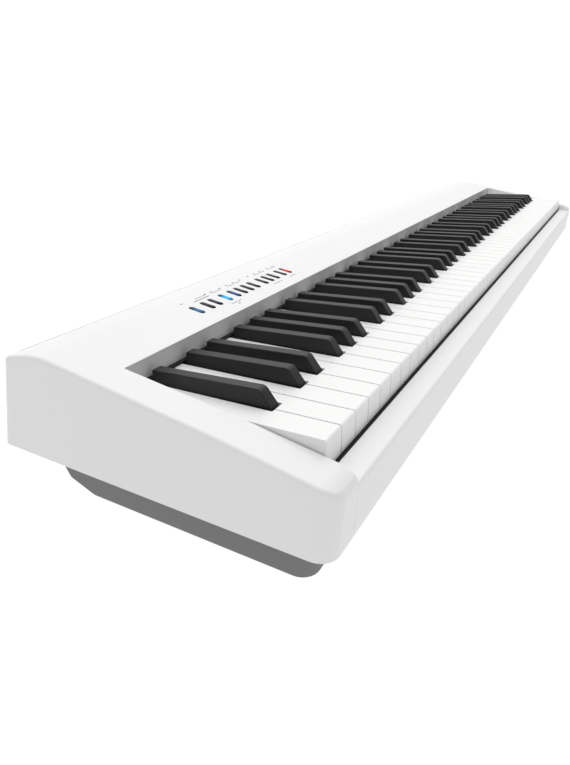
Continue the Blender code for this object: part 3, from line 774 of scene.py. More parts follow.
# ---- sub-assemblies --------------------------------------------------------------------------
@dataclass
class WhiteCase:
    """Upper case: cheeks, control panel and back in one moulding, with the low front rail."""

    keys_width: float = mm(1222.0)
    cheek: float = mm(36.0)
    lean: float = 0.085
    front: float = mm(-23.0)
    low: float = mm(-62.0)
    crown: float = mm(-8.8)
    slope: float = 0.124
    nose_y: float = mm(-8.0)
    nose_drop: float = mm(7.5)
    brow_y: float = mm(60.0)
    brow_slope: float = 0.028
    crest_y: float = mm(192.0)
    crest_top: Point2 = (mm(213.0), mm(16.7))
    back_top: Point2 = (mm(252.0), mm(7.5))
    back_y: float = mm(250.0)
    back_low: float = mm(256.5)
    corner: float = mm(14.0)
    back_corner: float = mm(8.0)
    rim: float = mm(2.8)
    wall: float = mm(3.0)
    side_gap: float = mm(0.6)
    well_back: float = mm(158.3)
    proud: float = mm(20.0)
    seam: float = mm(0.3)
    liner_low: float = mm(-58.7)
    socket_x: Point2 = (mm(540.0), mm(572.0))
    socket_y: Point2 = (mm(240.0), mm(276.5))
    socket_z: Point2 = (mm(-30.3), mm(-17.7))
    socket_half: float = mm(7.3)
    board_low: float = mm(-6.0)
    board_gap: float = mm(0.35)
    board_thick: float = mm(3.2)
    board_ledge: float = mm(0.6)
    upstand: float = mm(0.25)
    rail_edge: float = mm(2.6)
    rail_back_edge: float = mm(1.2)
    rail_front_top: float = mm(-22.2)
    rail_back_top: float = mm(-20.0)
    rail_back: float = mm(-3.5)
    rail_hem: float = mm(-35.0)
    shade_line_end: float = mm(16.0)
    shade_line_depth: float = mm(0.6)

    def top(self, y: float) -> float:
        """Height of the sloping panel at depth y."""
        return self.crown + self.slope * y

    def height(self, y: float) -> float:
        """Height of the case top at depth y: round nose, straight panel, soft crest."""
        if y > self.crest_y:
            return self.crest(y)
        brow = self.brow_slope * max(0.0, self.brow_y - y)
        reach = min(1.0, max(0.0, self.nose_y - y) / (self.nose_y - self.front))
        return self.top(y) - brow - self.nose_drop * (1.0 - math.sqrt(1.0 - reach * reach))

    def crest(self, y: float) -> float:
        """Height behind the panel: two parabolas that meet at the highest line."""
        peak_y, peak_z = self.crest_top
        if y <= peak_y:
            share = (peak_y - y) / (peak_y - self.crest_y)
            return peak_z - (peak_z - self.top(self.crest_y)) * share ** 2
        share = (y - peak_y) / (self.back_top[0] - peak_y)
        return peak_z - (peak_z - self.back_top[1]) * share ** 1.6

    def side_levels(self) -> list[float]:
        """Depths at which the sides have points."""
        coarse = [mm(-4.0 + 16.0 * i) for i in range(5)]
        panel = [mm(y) for y in (90.0, 125.0, 160.0)]
        fine = [self.crest_y + mm(3.55) * i for i in range(14)]
        return coarse + panel + fine

    def half_plan(self, inset: float, back: float) -> Outline:
        """Left half of the plan outline from front to back.

        Args:
            inset: distance that the walls are moved in.
            back: depth of the back wall.

        Returns:
            Points of the half outline.
        """
        x0 = -self.cheek + inset
        near = self.corner - inset
        far = self.back_corner - inset
        front_turn = [math.radians(9.0 * i) for i in range(11)]
        back_turn = [math.radians(15.0 * i) for i in range(7)]
        points = [(x0 + near - near * math.sin(a),
                   self.front + inset + near - near * math.cos(a)) for a in front_turn]
        points += [(x0, y) for y in self.side_levels()]
        points += [(x0 + far - far * math.cos(a), back - inset - far + far * math.sin(a))
                   for a in back_turn]
        return points

    def solid(self, inset: float, drop: float) -> bmesh.types.BMesh:
        """Rounded solid of the case with leaning ends and back.

        Args:
            inset: distance that the walls are moved in.
            drop: distance that the solid runs on below the case.

        Returns:
            The solid as a bmesh.
        """
        extra = drop / (self.height(mm(100.0)) - self.low)
        radius = self.rim - inset * 0.6
        foot = self.half_plan(inset, self.back_low + extra * (self.back_low - self.back_y))
        rings = [[(x, y, self.low - drop) for x, y in foot]]
        for step in range(7):
            angle = math.radians(15.0 * step)
            plan = self.half_plan(inset + radius * (1.0 - math.cos(angle)), self.back_y)
            rings.append([(x, y, self.height(y) - inset - radius * (1.0 - math.sin(angle)))
                          for x, y in plan])
        return self.mirrored_loft(rings)

    def mirrored_loft(self, rings: list[list[tuple[float, float, float]]]
                      ) -> bmesh.types.BMesh:
        """Join half rings and their mirror images, and close the ends.

        Args:
            rings: left halves of the rings, from the lowest to the highest.

        Returns:
            The closed body with both ends leaning in.
        """
        bm = bmesh.new()
        halves = []
        for ring in rings:
            leant = [(x + self.lean * (z - self.low), y, z) for x, y, z in ring]
            halves.append(([bm.verts.new(p) for p in leant],
                           [bm.verts.new((self.keys_width - x, y, z)) for x, y, z in leant]))
        left, right = halves[0]
        bm.faces.new(left + right[::-1])
        for (l0, r0), (l1, r1) in zip(halves, halves[1:]):
            low, high = l0 + r0[::-1], l1 + r1[::-1]
            for i in range(len(low)):
                j = (i + 1) % len(low)
                bm.faces.new((low[i], low[j], high[j], high[i]))
        left, right = halves[-1]
        for i in range(len(left) - 1):
            bm.faces.new((left[i], left[i + 1], right[i + 1], right[i]))
        return bm

    def build_shell(self, buttons: "ButtonRow") -> bpy.types.Object:
        """Carve the hollow case with its key well, button holes and socket holes.

        Args:
            buttons: button row that gives the holes in the panel.

        Returns:
            The finished shell.
        """
        shell = to_object("case_shell", self.solid(0.0, 0.0))
        hollow = to_object("hollow", self.solid(self.wall, self.proud))
        high = self.proud * 2
        near = self.front - self.proud
        for x0, x1 in ((-self.wall - self.side_gap, -self.seam),
                       (self.keys_width + self.seam, self.keys_width + self.wall + self.side_gap)):
            carve(hollow, block((x0, x1), (near, self.well_back + self.wall),
                                (self.liner_low, high)))
        carve(shell, hollow)
        carve(shell, block((-self.side_gap, self.keys_width + self.side_gap),
                           (near, self.well_back), (self.low - self.proud, high)))
        carve(shell, buttons.holes())
        holes = bmesh.new()
        for x in self.socket_x:
            block((x - self.socket_half, x + self.socket_half), self.socket_y, self.socket_z,
                  holes)
        carve(shell, holes)
        return shift_to_datum(soften(shell, mm(0.3), 2))

    def build_fallboard(self) -> bpy.types.Object:
        """Board behind the keys with a thin upstand that covers the edge of the panel."""
        face = self.well_back - self.board_gap
        high = self.top(face) - mm(0.1)
        low = self.board_low
        shelf = high - self.wall - self.board_ledge
        outline = [(face, low), (face, high), (face + self.upstand, high),
                   (face + self.upstand, shelf), (face + self.board_thick, shelf),
                   (face + self.board_thick, low)]
        board = to_object("fallboard_panel", prism_x(outline, 0.0, self.keys_width))
        return shift_to_datum(soften(board, 0.0))

    def build_rail(self) -> bpy.types.Object:
        """Bent rail in front of the keys with a rolled front edge."""
        edge, rim = self.rail_edge, self.rail_back_edge
        back, hem = self.rail_back, self.rail_hem
        outline = [(self.front, self.low)]
        outline += arc(self.front + edge, self.rail_front_top - edge, edge, 180.0, 96.0, 6)
        outline += arc(back - rim, self.rail_back_top - rim, rim, 96.0, 0.0, 5)
        outline += [(back, hem), (back - self.wall, hem),
                    (back - self.wall, self.rail_back_top - self.wall - mm(0.4)),
                    (self.front + self.wall, self.rail_front_top - self.wall),
                    (self.front + self.wall, self.low)]
        rail = to_object("key_slip", prism_x(outline, -self.seam, self.keys_width + self.seam))
        return shift_to_datum(soften(rail, mm(0.2), 1))

    def build_shade_line(self) -> bpy.types.Object:
        """Thin grey strip near the back edge of the panel, level with the surface: painted shade
        for the rounded back edge.
        """
        bm = bmesh.new()
        rings = []
        x0, x1 = -self.shade_line_end, self.keys_width + self.shade_line_end
        for y, lift in ((245.6, 0.0), (246.2, 0.05), (247.4, 0.05), (248.0, 0.0)):
            high = self.height(mm(y)) + mm(lift)
            low = high - self.shade_line_depth
            rings.append([(x0, mm(y), low), (x1, mm(y), low), (x1, mm(y), high),
                          (x0, mm(y), high)])
        loft(bm, rings)
        return shift_to_datum(to_object("back_bead", bm))

    def dress(self, finishes: Finishes, buttons: "ButtonRow") -> None:
        """Build and dress the case and its rail."""
        hand_over(self.build_shell(buttons), "case", finishes.case,
                  ["top_case"])
        hand_over(self.build_rail(), "case", finishes.case, ["front_rail"])
        hand_over(self.build_fallboard(), "case", finishes.fallboard,
                  ["fallboard"])
        hand_over(self.build_shade_line(), "case", finishes.shade_line)


@dataclass
class ButtonRow:
    """Capsule buttons on the sloping panel and the printed marks round them."""

    case: WhiteCase
    centres: tuple[float, ...] = (124.5, 141.0, 153.0, 170.0, 185.0, 197.0, 209.0, 221.0,
                                  237.5, 249.5, 261.5, 277.0, 289.0)
    lamps: tuple[Lamp, ...] = (Lamp.PALE_BLUE, Lamp.OFF, Lamp.INDIGO, Lamp.CYAN, Lamp.BLUE,
                               Lamp.OFF, Lamp.OFF, Lamp.OFF, Lamp.OFF, Lamp.OFF, Lamp.OFF,
                               Lamp.OFF, Lamp.RED)
    depth: float = mm(185.5)
    length: float = mm(16.5)
    width: float = mm(5.5)
    proud: float = mm(0.9)
    flange: float = mm(1.2)
    flange_reach: float = mm(0.9)
    shoulder: float = mm(-1.4)
    crown_run: float = mm(1.3)
    crown_rise: float = mm(1.8)
    end_drop: float = mm(1.3)
    film: Point2 = (mm(0.01), mm(0.05))

    def panel(self) -> Matrix:
        """Matrix from the flat panel, centred on the button row, to the keyboard datum."""
        tilt = Matrix.Rotation(math.atan(self.case.slope), 4, "X")
        return Matrix.Translation((0.0, self.depth, self.case.top(self.depth))) @ tilt

    def capsule(self, grow: float, steps: int = 8) -> Outline:
        """Capsule outline with its long side along Y."""
        radius = self.width / 2 + grow
        reach = (self.length - self.width) / 2
        return arc(0.0, reach, radius, 0.0, 180.0, steps) + arc(0.0, -reach, radius, 180.0,
                                                                360.0, steps)

    def holes(self) -> bmesh.types.BMesh:
        """Cutter for all button holes."""
        bm = bmesh.new()
        for x in self.centres:
            outline = [(mm(x) + px, py) for px, py in self.capsule(mm(0.3))]
            prism_z(outline, -self.case.wall * 2, self.case.wall, bm)
        bmesh.ops.transform(bm, matrix=self.panel(), verts=bm.verts)
        return bm

    def build_cap(self, index: int) -> bpy.types.Object:
        """One button with a holding flange and a crowned top."""
        x = mm(self.centres[index])
        low = -self.case.wall - mm(0.3)
        layers = [(self.flange_reach, low - self.flange), (self.flange_reach, low), (0.0, low),
                  (0.0, self.shoulder)]
        for angle in (25.0, 50.0, 70.0, 90.0):
            turn = math.radians(angle)
            layers.append((-self.crown_run * (1.0 - math.cos(turn)),
                           self.shoulder + self.crown_rise * math.sin(turn)))
        bm = bmesh.new()
        loft(bm, [[(x + px, py, z - self.dip(py, z)) for px, py in self.capsule(grow)]
                  for grow, z in layers])
        cap = to_object("button_cap_%02d" % (index + 1), bm)
        return shift_to_datum(soften(cap, 0.0), self.panel())

    def dip(self, y: float, z: float) -> float:
        """Drop of the crowned top towards its far end."""
        return 0.0 if z <= self.shoulder else y / self.length * self.end_drop

    def build_marks(self) -> bpy.types.Object:
        """Printed rules, labels and the volume rule, as thin film that follows the panel."""
        bm = bmesh.new()
        far = self.length / 2
        self.strip(bm, (137.0, 160.5), far + mm(4.4), 0.9)
        self.strip(bm, (143.5, 161.0), far + mm(8.2), 0.5)
        for x0, x1 in ((168.0, 184.0), (196.0, 218.0), (246.0, 267.0), (274.0, 292.0)):
            self.strip(bm, (x0, x1), far + mm(6.4), 0.6)
        for x0, x1 in ((160.0, 177.0), (240.0, 258.0), (276.0, 288.0)):
            self.strip(bm, (x0, x1), -far - mm(5.1), 0.6)
        self.strip(bm, (166.9, 170.1), -far - mm(8.6), 1.0)
        for x in (self.centres[0], 160.5) + self.centres[3:]:
            self.strip(bm, (x - 1.6, x + 1.6), far + mm(9.0), 1.0)
        bmesh.ops.transform(bm, matrix=self.panel(), verts=bm.verts)
        for vert in bm.verts:
            vert.co.z += self.case.height(vert.co.y) - self.case.top(vert.co.y)
        return shift_to_datum(to_object("panel_marks", bm))

    def strip(self, bm: bmesh.types.BMesh, x: Point2, y: float, width: float) -> None:
        """Add one printed rule.

        Args:
            bm: bmesh that receives the rule.
            x: its two ends, in millimetres.
            y: its distance from the middle of the row, in metres.
            width: its width, in millimetres.
        """
        half = mm(width) / 2
        block((mm(x[0]), mm(x[1])), (y - half, y + half), self.film, bm)

    def dress(self, finishes: Finishes) -> None:
        """Build and dress the buttons and marks."""
        near = DATUM.origin.y + self.depth - self.length * 0.5
        far = DATUM.origin.y + self.depth + self.length * 0.42
        for index, lamp in enumerate(self.lamps):
            name = "button_%02d" % (index + 1)
            hand_over(self.build_cap(index), name,
                      ButtonFinish(lamp, near, far).make(), [name])
        hand_over(self.build_marks(), "case", finishes.ink)


@dataclass
class Keyboard:
    """Eighty-eight keys: white covers with cut-outs and tapered black keys."""

    count: int = 52
    pitch: float = mm(23.5)
    slit: float = mm(1.1)
    pivot_y: float = mm(215.0)
    pivot_drop: float = mm(6.0)
    tilt: float = 0.0471
    length: float = mm(222.0)
    step: float = mm(206.0)
    thick: float = mm(12.0)
    lip: float = mm(21.0)
    notch_width: float = mm(14.5)
    notch_y: float = mm(48.9)
    first_single: int = 23
    last_single: int = 29
    letters: str = "ABCDEFG"
    white_nose: float = mm(1.8)
    white_corner: float = mm(1.1)
    skirt: float = mm(6.0)
    tail_drop: float = mm(6.8)
    black_front: float = mm(51.0)
    black_half: float = mm(5.5)
    black_base: float = mm(0.6)
    black_end: float = mm(151.5)
    black_end_top: float = mm(9.5)
    black_nose: float = mm(5.5)
    black_nose_at: Point2 = (mm(62.7), mm(7.3))
    black_taper: float = mm(0.6)
    black_rise: float = mm(12.2)

    def shift_of(self, letter: str) -> float | None:
        """Offset of the black key from the seam to the right of a white key."""
        table = {"A": 3.44, "C": -2.28, "D": 2.29, "F": -3.44, "G": 0.0}
        return mm(table[letter]) if letter in table else None

    def black_centre(self, index: int) -> float | None:
        """Middle of the black key to the right of white key index."""
        offset = self.shift_of(self.letters[index % 7])
        if offset is None or index < 0 or index >= self.count - 1:
            return None
        return (index + 1) * self.pitch + offset

    def placing(self) -> Matrix:
        """Matrix from the level key frame to the tilted keyboard."""
        drop = self.pivot_drop + self.pivot_y * math.sin(self.tilt)
        return (Matrix.Translation((0.0, self.pivot_y, -drop)) @
                Matrix.Rotation(-self.tilt, 4, "X") @
                Matrix.Translation((0.0, -self.pivot_y, self.pivot_drop)))

    def white_template(self, index: int) -> bpy.types.Object:
        """White key of that index at its own place, with rolled front and cut-outs."""
        x0 = index * self.pitch + self.slit / 2
        x1 = (index + 1) * self.pitch - self.slit / 2
        nose = self.white_nose
        outline = [(0.0, -self.lip)]
        outline += arc(nose, -nose, nose, 180.0, 90.0, 6)
        outline += [(self.step, 0.0), (self.step, -self.tail_drop),
                    (self.length, -self.tail_drop), (self.length, -self.thick),
                    (self.skirt, -self.thick), (self.skirt, -self.lip)]
        bm = prism_x(outline, x0, x1)
        round_edges(bm, self.is_front_corner, self.white_corner, 4)
        key = to_object("white", bm)
        for side in (index - 1, index):
            centre = self.black_centre(side)
            if centre is None:
                continue
            half = self.notch_width / 2
            carve(key, block((centre - half, centre + half),
                             (self.notch_y, self.length + mm(20.0)),
                             (-self.lip * 2, mm(20.0))))
        return soften(key, mm(0.25), 2)

    @staticmethod
    def is_front_corner(edge: bmesh.types.BMEdge) -> bool:
        """True for the two upright edges of a key front."""
        a, b = (v.co for v in edge.verts)
        return max(a.y, b.y) < 1e-6 and abs(a.z - b.z) > mm(5.0)

    def black_template(self) -> bpy.types.Object:
        """Black key round x = 0: sloping front, narrower crown, rounded long edges."""
        front, end = self.black_front, self.black_end
        tail = mm(-6.0)
        outline = [(front, -self.thick), (front, self.black_base)]
        outline += arc(*self.black_nose_at, self.black_nose, 144.0, 88.0, 7)
        outline += [(end, self.black_end_top), (end, 0.0), (self.length, 0.0),
                    (self.length, tail), (self.step, tail), (self.step, -self.thick)]
        bm = prism_x(outline, -self.black_half, self.black_half)
        for vert in bm.verts:
            lift = max(0.0, vert.co.z - self.black_base) / self.black_rise
            vert.co.x -= math.copysign(self.black_taper * lift, vert.co.x)
        round_edges(bm, self.is_crown_edge, mm(0.9), 4)
        key = to_object("black", bm)
        key.data.transform(self.placing())
        return soften(key, 0.0)

    @staticmethod
    def is_crown_edge(edge: bmesh.types.BMEdge) -> bool:
        """True for an edge between a side face and the crown or front slope."""
        sides = [abs(f.normal.x) > 0.7 for f in edge.link_faces]
        height = min(v.co.z for v in edge.verts)
        depth = max(v.co.y for v in edge.verts)
        return sum(sides) == 1 and height > mm(0.3) and depth < mm(152.0)

    def build_white(self, name: str, indices: Iterable[int]) -> bpy.types.Object:
        """Join the white keys of one body into one piece.

        Args:
            name: piece name.
            indices: white key indices.

        Returns:
            The finished piece.
        """
        bm = bmesh.new()
        for index in indices:
            key = self.white_template(index)
            bm.from_mesh(key.data)
            bpy.data.objects.remove(key, do_unlink=True)
        mesh = bpy.data.meshes.new(name)
        bm.to_mesh(mesh)
        bm.free()
        obj = bpy.data.objects.new(name, mesh)
        bpy.context.scene.collection.objects.link(obj)
        obj.data.transform(self.placing())
        return shift_to_datum(soften(obj, 0.0))

    def build_black(self, name: str, indices: Iterable[int], template: bpy.types.Object,
                    material: bpy.types.Material) -> bpy.types.Object:
        """Set black keys of one body on their places.

        Args:
            name: piece name.
            indices: white keys that have these black keys on their right.
            template: black key round x = 0.
            material: finish.

        Returns:
            The finished piece.
        """
        centres = [c for c in map(self.black_centre, indices) if c is not None]
        points = [DATUM.origin + Vector((c, 0.0, 0.0)) for c in centres]
        return soften(Repeater.on_points(name, points, template, material), 0.0)

    def dress(self, finishes: Finishes) -> None:
        """Build and dress every key on its body."""
        template = self.black_template()
        bass = range(0, self.first_single)
        treble = range(self.last_single + 1, self.count)
        for part, indices in (("bass", bass), ("treble", treble)):
            body = "keys_%s_white" % part
            hand_over(self.build_white("white_keys_" + part, indices), body,
                      finishes.ivory, [body])
            body = "keys_%s_black" % part
            hand_over(self.build_black("black_keys_" + part, indices, template,
                                       finishes.ebony), body,
                      finishes.ebony, [body])
        for index in range(self.first_single, self.last_single + 1):
            letter = self.letters[index % 7].lower()
            body = "key_%s4" % letter
            hand_over(self.build_white("white_key_%s4" % letter, [index]), body,
                      finishes.ivory, [body])
            if self.black_centre(index) is not None:
                body = "key_%ss4" % letter
                hand_over(self.build_black("black_key_%ss4" % letter, [index], template,
                                           finishes.ebony), body,
                          finishes.ebony, [body])
        bpy.data.objects.remove(template, do_unlink=True)


@dataclass
class BaseTray:
    """Grey tub under the case with its flange, speaker grilles and screws."""

    x: Point2 = (mm(-8.0), mm(1230.0))
    low: float = mm(-107.0)
    wall: float = mm(3.0)
    corner: float = mm(14.0)
    front: float = mm(1.0)
    edge: float = mm(1.6)
    facets: tuple[Point2, ...] = ((0.0, 0.1920), (0.0096, 0.2185), (0.0210, 0.2260),
                                  (0.0465, 0.2280))
    tub_top: float = mm(-60.5)
    hollow_top: float = mm(-39.0)
    flange_x: Point2 = (mm(-32.4), mm(1254.4))
    flange_y: Point2 = (mm(-19.4), mm(251.0))
    flange_z: Point2 = (mm(-62.0), mm(-59.0))
    flange_corner: float = mm(19.0)
    grille_pitch: float = mm(4.0)
    grille_hole: float = mm(2.8)
    grille_thick: float = mm(1.5)
    rim_width: float = mm(3.6)
    screw_y: Point2 = (mm(-11.0), mm(240.0))
    screw_first: float = mm(20.0)
    screw_pitch: float = mm(197.0)
    screw_count: int = 7
    speaker_x: Point2 = (mm(150.0), mm(1072.0))
    speaker_y: float = mm(100.0)
    speaker_radius: float = mm(56.0)

    def back(self, z: float) -> float:
        """Depth of the back wall at height z: three facets that rise to the flange."""
        rise = z - self.low
        for (z0, y0), (z1, y1) in zip(self.facets, self.facets[1:]):
            if rise <= z1:
                return y0 + (y1 - y0) * max(0.0, rise - z0) / (z1 - z0)
        return self.facets[-1][1]

    def ring(self, inset: float, draw: float, z: float) -> list[tuple[float, float, float]]:
        """Plan outline at height z with round front corners.

        Args:
            inset: distance that the walls are moved in.
            draw: distance that the round bottom edge draws in at this height.
            z: height of the outline.

        Returns:
            Points of the closed outline.
        """
        x0, x1 = self.x[0] + inset + draw, self.x[1] - inset - draw
        y0, y1 = self.front + inset + draw, self.back(z) - inset
        radius = self.corner - inset - draw
        turns = arc(x0 + radius, y0 + radius, radius, 180.0, 270.0, 8)
        turns += arc(x1 - radius, y0 + radius, radius, 270.0, 360.0, 8)
        return [(x, y, z) for x, y in turns + [(x1, y1), (x0, y1)]]

    def tub(self, inset: float, top: float) -> bmesh.types.BMesh:
        """Tub solid with round front corners and a round bottom edge.

        Args:
            inset: distance that the walls are moved in.
            top: height at which the solid ends.

        Returns:
            The solid.
        """
        floor = self.low + inset
        rings = []
        for step in range(5):
            angle = math.radians(22.5 * step)
            rings.append(self.ring(inset, self.edge * (1.0 - math.sin(angle)),
                                   floor + self.edge * (1.0 - math.cos(angle))))
        for rise, _ in self.facets[1:3]:
            rings.append(self.ring(inset, 0.0, self.low + rise))
        rings.append(self.ring(inset, 0.0, top))
        bm = bmesh.new()
        loft(bm, rings)
        return bm

    def build_tub(self) -> bpy.types.Object:
        """Hollow tub with flange and speaker openings."""
        tub = to_object("tray_shell", self.tub(0.0, self.tub_top))
        flange = block(self.flange_x, self.flange_y, self.flange_z)
        round_edges(flange, is_upright, self.flange_corner, 8)
        carve(tub, flange, "UNION")
        carve(tub, self.tub(self.wall, self.hollow_top))
        holes = bmesh.new()
        for x in self.speaker_x:
            ring = arc(x, self.speaker_y, self.speaker_radius, 0.0, 354.375, 63)
            prism_z(ring, self.low - mm(20.0), self.low + mm(6.0), holes)
        carve(tub, holes)
        return shift_to_datum(soften(tub, mm(0.5), 2, 20.0))

    def build_cell(self) -> bpy.types.Object:
        """One pierced hexagon of the perforated sheet."""
        bm = bmesh.new()
        depth = self.grille_thick
        outer = arc(0.0, 0.0, self.grille_pitch / math.sqrt(3.0), 0.0, 300.0, 5)
        inner = arc(0.0, 0.0, self.grille_hole / 2, 0.0, 300.0, 5)
        rings = [[bm.verts.new((x, y, z)) for x, y in loop]
                 for loop, z in ((outer, 0.0), (outer, depth), (inner, depth), (inner, 0.0))]
        for a, b in zip(rings, rings[1:] + rings[:1]):
            for i in range(6):
                j = (i + 1) % 6
                bm.faces.new((a[i], a[j], b[j], b[i]))
        return to_object("cell", bm)

    def build_grille(self, side: str, x: float, material: bpy.types.Material
                     ) -> tuple[bpy.types.Object, bpy.types.Object]:
        """Perforated disc and its pressed rim.

        Args:
            side: left or right, for the names.
            x: middle of the grille.
            material: finish of both.

        Returns:
            The disc and the rim.
        """
        cell = self.build_cell()
        disc = Repeater.perforated_disc("grille_mesh_" + side, self.speaker_radius - self.wall,
                                        self.grille_pitch, cell, material)
        bpy.data.objects.remove(cell, do_unlink=True)
        place = Matrix.Translation((x, self.speaker_y, self.low + mm(0.75)))
        shift_to_datum(disc, place)
        bm = bmesh.new()
        outer = self.speaker_radius - mm(0.3)
        inner = outer - self.rim_width
        low, high = mm(0.2), self.grille_thick
        section = [(outer, low), (outer, high), (inner, high), (inner, low)]
        rings = [[bm.verts.new((px, py, z)) for px, py in
                  arc(0.0, 0.0, radius, 0.0, 354.375, 63)] for radius, z in section]
        for a, b in zip(rings, rings[1:] + rings[:1]):
            for i in range(64):
                j = (i + 1) % 64
                bm.faces.new((a[i], a[j], b[j], b[i]))
        rim = shift_to_datum(soften(to_object("grille_rim_" + side, bm), 0.0), place)
        return disc, rim

    def build_screws(self, material: bpy.types.Material) -> bpy.types.Object:
        """Pan head screws along the flange, seen from below."""
        head = to_object("screw", turned([(0.0, mm(-0.8)), (mm(1.2), mm(-0.8)),
                                          (mm(1.5), mm(-1.9)), (mm(2.6), mm(-1.7)),
                                          (mm(3.4), mm(-0.9)), (mm(3.6), 0.0), (0.0, 0.0)], 12))
        spots = []
        for step in range(self.screw_count):
            x = self.screw_first + step * self.screw_pitch
            for y in self.screw_y:
                spots.append(Vector((x, y, self.flange_z[0])) + DATUM.origin)
        screws = Repeater.on_points("flange_screws", spots, head, material)
        bpy.data.objects.remove(head, do_unlink=True)
        return screws

    def dress(self, finishes: Finishes) -> None:
        """Build and dress the tub, grilles and screws."""
        hand_over(self.build_tub(), "case", finishes.tray, ["base_tray"])
        for side, x in zip(("left", "right"), self.speaker_x):
            disc, rim = self.build_grille(side, x, finishes.grille)
            hand_over(disc, "case", finishes.grille, ["grille_" + side])
            hand_over(rim, "case", finishes.grille)
        hand_over(self.build_screws(finishes.screw), "case", finishes.screw)


@dataclass
class InnerParts:
    """Felt strips and circuit boards inside the case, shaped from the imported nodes."""

    finishes: Finishes
    pad: float = mm(0.4)
    hole: float = mm(1.6)
    margin: float = mm(4.0)
    corner: float = mm(1.5)

    def build_strip(self, node: str) -> bpy.types.Object:
        """Felt strip with soft pressed edges in the place of that node."""
        low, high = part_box(node)
        bm = block((low.x, high.x), (low.y, high.y), (low.z, high.z))
        return soften(to_object(node + "_strip", bm), self.pad, 3)

    def build_board(self, node: str) -> bpy.types.Object:
        """Circuit board with round corners and a fixing hole near each corner."""
        low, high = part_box(node)
        bm = block((low.x, high.x), (low.y, high.y), (low.z, high.z))
        round_edges(bm, is_upright, self.corner, 4)
        board = to_object(node + "_laminate", bm)
        holes = bmesh.new()
        for x in (low.x + self.margin, high.x - self.margin):
            for y in (low.y + self.margin, high.y - self.margin):
                prism_z(arc(x, y, self.hole, 0.0, 337.5, 15), low.z - self.margin,
                        high.z + self.margin, holes)
        carve(board, holes)
        return soften(board, 0.0)

    def dress(self) -> None:
        """Build and dress the strips and boards."""
        for node in ("key_back_felt", "slip_felt", "key_stop_felt"):
            hand_over(self.build_strip(node), "case", self.finishes.felt, [node])
        for node in ("main_board", "panel_board", "jack_board"):
            hand_over(self.build_board(node), "case", self.finishes.board, [node])


@dataclass
class CarriedParts:
    """CAD nodes that keep their shape and get a finish."""

    finishes: Finishes

    def dress(self) -> None:
        """Give each carried node its material."""
        f = self.finishes
        table = {
            "speaker_left": f.driver, "speaker_right": f.driver, "foot_1": f.rubber,
            "foot_2": f.rubber, "foot_3": f.rubber, "foot_4": f.rubber,
            "key_chassis": f.zinc, "power_inlet": f.nylon, "pedal_jack": f.nylon,
        }
        for name, material in table.items():
            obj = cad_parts[name]
            obj.data.materials.clear()
            obj.data.materials.append(material)
            LOG.info("%s carried over", name)


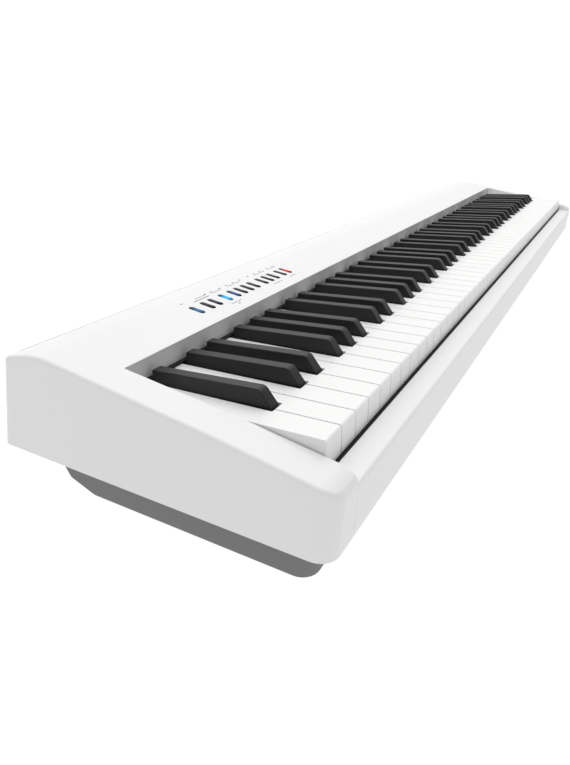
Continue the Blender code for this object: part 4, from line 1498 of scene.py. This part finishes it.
# ---- studio ----------------------------------------------------------------------------------
@dataclass
class Studio:
    """Pale floor, soft light from above and behind, and the camera."""

    eye: tuple[float, float, float] = (-0.9082, -0.2410, 0.3039)
    heading: float = 27.51
    pitch: float = 25.12
    roll: float = -2.10
    lens: float = 28.82
    dim: float = 0.3
    ceiling: float = 0.85
    lamp_watts: float = 27.0
    lamp_at: tuple[float, float, float] = (0.3, 0.6, 2.4)
    lamp_size: Point2 = (3.0, 2.0)
    lamp_tilt: Point2 = (-14.0, 7.0)
    bright_side: tuple[float, float, float] = (0.887, 0.462, 0.0)
    floor_shade: float = 0.08
    floor_glow: float = 0.97

    def build_camera(self) -> None:
        """Set the camera at the bass end, looking along the keys."""
        data = bpy.data.cameras.new("camera")
        data.lens = self.lens
        data.sensor_width = 36.0
        data.clip_start = 0.02
        data.clip_end = 60.0
        camera = bpy.data.objects.new("camera", data)
        bpy.context.scene.collection.objects.link(camera)
        yaw, dip, roll = (math.radians(a) for a in (self.heading, self.pitch, self.roll))
        ahead = Vector((math.cos(dip) * math.cos(yaw), math.cos(dip) * math.sin(yaw),
                        -math.sin(dip)))
        level = Vector((math.sin(yaw), -math.cos(yaw), 0.0))
        under = ahead.cross(level)
        right = math.cos(roll) * level + math.sin(roll) * under
        down = -math.sin(roll) * level + math.cos(roll) * under
        turn = Matrix((right, -down, -ahead)).transposed().to_4x4()
        camera.matrix_world = Matrix.Translation(self.eye) @ turn
        bpy.context.scene.camera = camera

    def build_floor(self) -> None:
        """Large pale floor that also returns light from below, as in a light tent."""
        bm = bmesh.new()
        block((-12.0, 12.0), (-12.0, 12.0), (-0.02, -0.0005), bm)
        floor = to_object("floor", bm)
        mat = bpy.data.materials.new("pale_paper_floor")
        mat.use_nodes = True
        shader = mat.node_tree.nodes["Principled BSDF"]
        shader.inputs["Base Color"].default_value = (*[self.floor_shade] * 3, 1.0)
        shader.inputs["Roughness"].default_value = 0.9
        shader.inputs["Emission Color"].default_value = (1.0, 1.0, 1.0, 1.0)
        shader.inputs["Emission Strength"].default_value = self.floor_glow
        floor.data.materials.append(mat)

    def build_light(self) -> None:
        """White surround, dimmer at the bass end and the player's side, plus a top light."""
        world = bpy.data.worlds.new("light_tent")
        world.use_nodes = True
        tree = world.node_tree
        tree.nodes.clear()
        place = add_node(tree, "ShaderNodeTexCoord").outputs["Generated"]
        facing = add_node(tree, "ShaderNodeVectorMath", {"operation": "DOT_PRODUCT"}, {
            0: place, 1: self.bright_side})
        wall = add_node(tree, "ShaderNodeMapRange", {"interpolation_type": "SMOOTHSTEP"}, {
            "Value": facing.outputs["Value"], "From Min": 0.35, "From Max": 0.8,
            "To Min": self.dim, "To Max": 1.05})
        height = add_node(tree, "ShaderNodeSeparateXYZ", inputs={0: place})
        sky = add_node(tree, "ShaderNodeMapRange", {"interpolation_type": "SMOOTHSTEP"}, {
            "Value": height.outputs["Z"], "From Min": 0.3, "From Max": 0.85,
            "To Min": self.dim, "To Max": self.ceiling})
        level = add_node(tree, "ShaderNodeMath", {"operation": "MAXIMUM"}, {
            0: wall.outputs["Result"], 1: sky.outputs["Result"]})
        ground = add_node(tree, "ShaderNodeBackground", inputs={
            "Color": (1.0, 1.0, 1.0, 1.0), "Strength": level.outputs["Value"]})
        add_node(tree, "ShaderNodeOutputWorld", inputs={"Surface": ground.outputs[0]})
        bpy.context.scene.world = world
        lamp = bpy.data.lights.new("top_softbox", "AREA")
        lamp.shape = "RECTANGLE"
        lamp.size, lamp.size_y = self.lamp_size
        lamp.energy = self.lamp_watts
        softbox = bpy.data.objects.new("top_softbox", lamp)
        softbox.location = self.lamp_at
        softbox.rotation_euler = (*[math.radians(a) for a in self.lamp_tilt], 0.0)
        bpy.context.scene.collection.objects.link(softbox)
        bpy.context.scene.view_settings.view_transform = "Standard"

    def build(self) -> None:
        """Set up the studio."""
        self.build_camera()
        self.build_floor()
        self.build_light()


def main() -> None:
    """Build the visible instrument in order."""
    logging.basicConfig(level=logging.INFO, format="%(message)s")
    Studio().build()
    finishes = Finishes()
    case = WhiteCase()
    buttons = ButtonRow(case)
    case.dress(finishes, buttons)
    BaseTray().dress(finishes)
    Keyboard().dress(finishes)
    buttons.dress(finishes)
    InnerParts(finishes).dress()
    CarriedParts(finishes).dress()


if __name__ == "__main__":
    main()
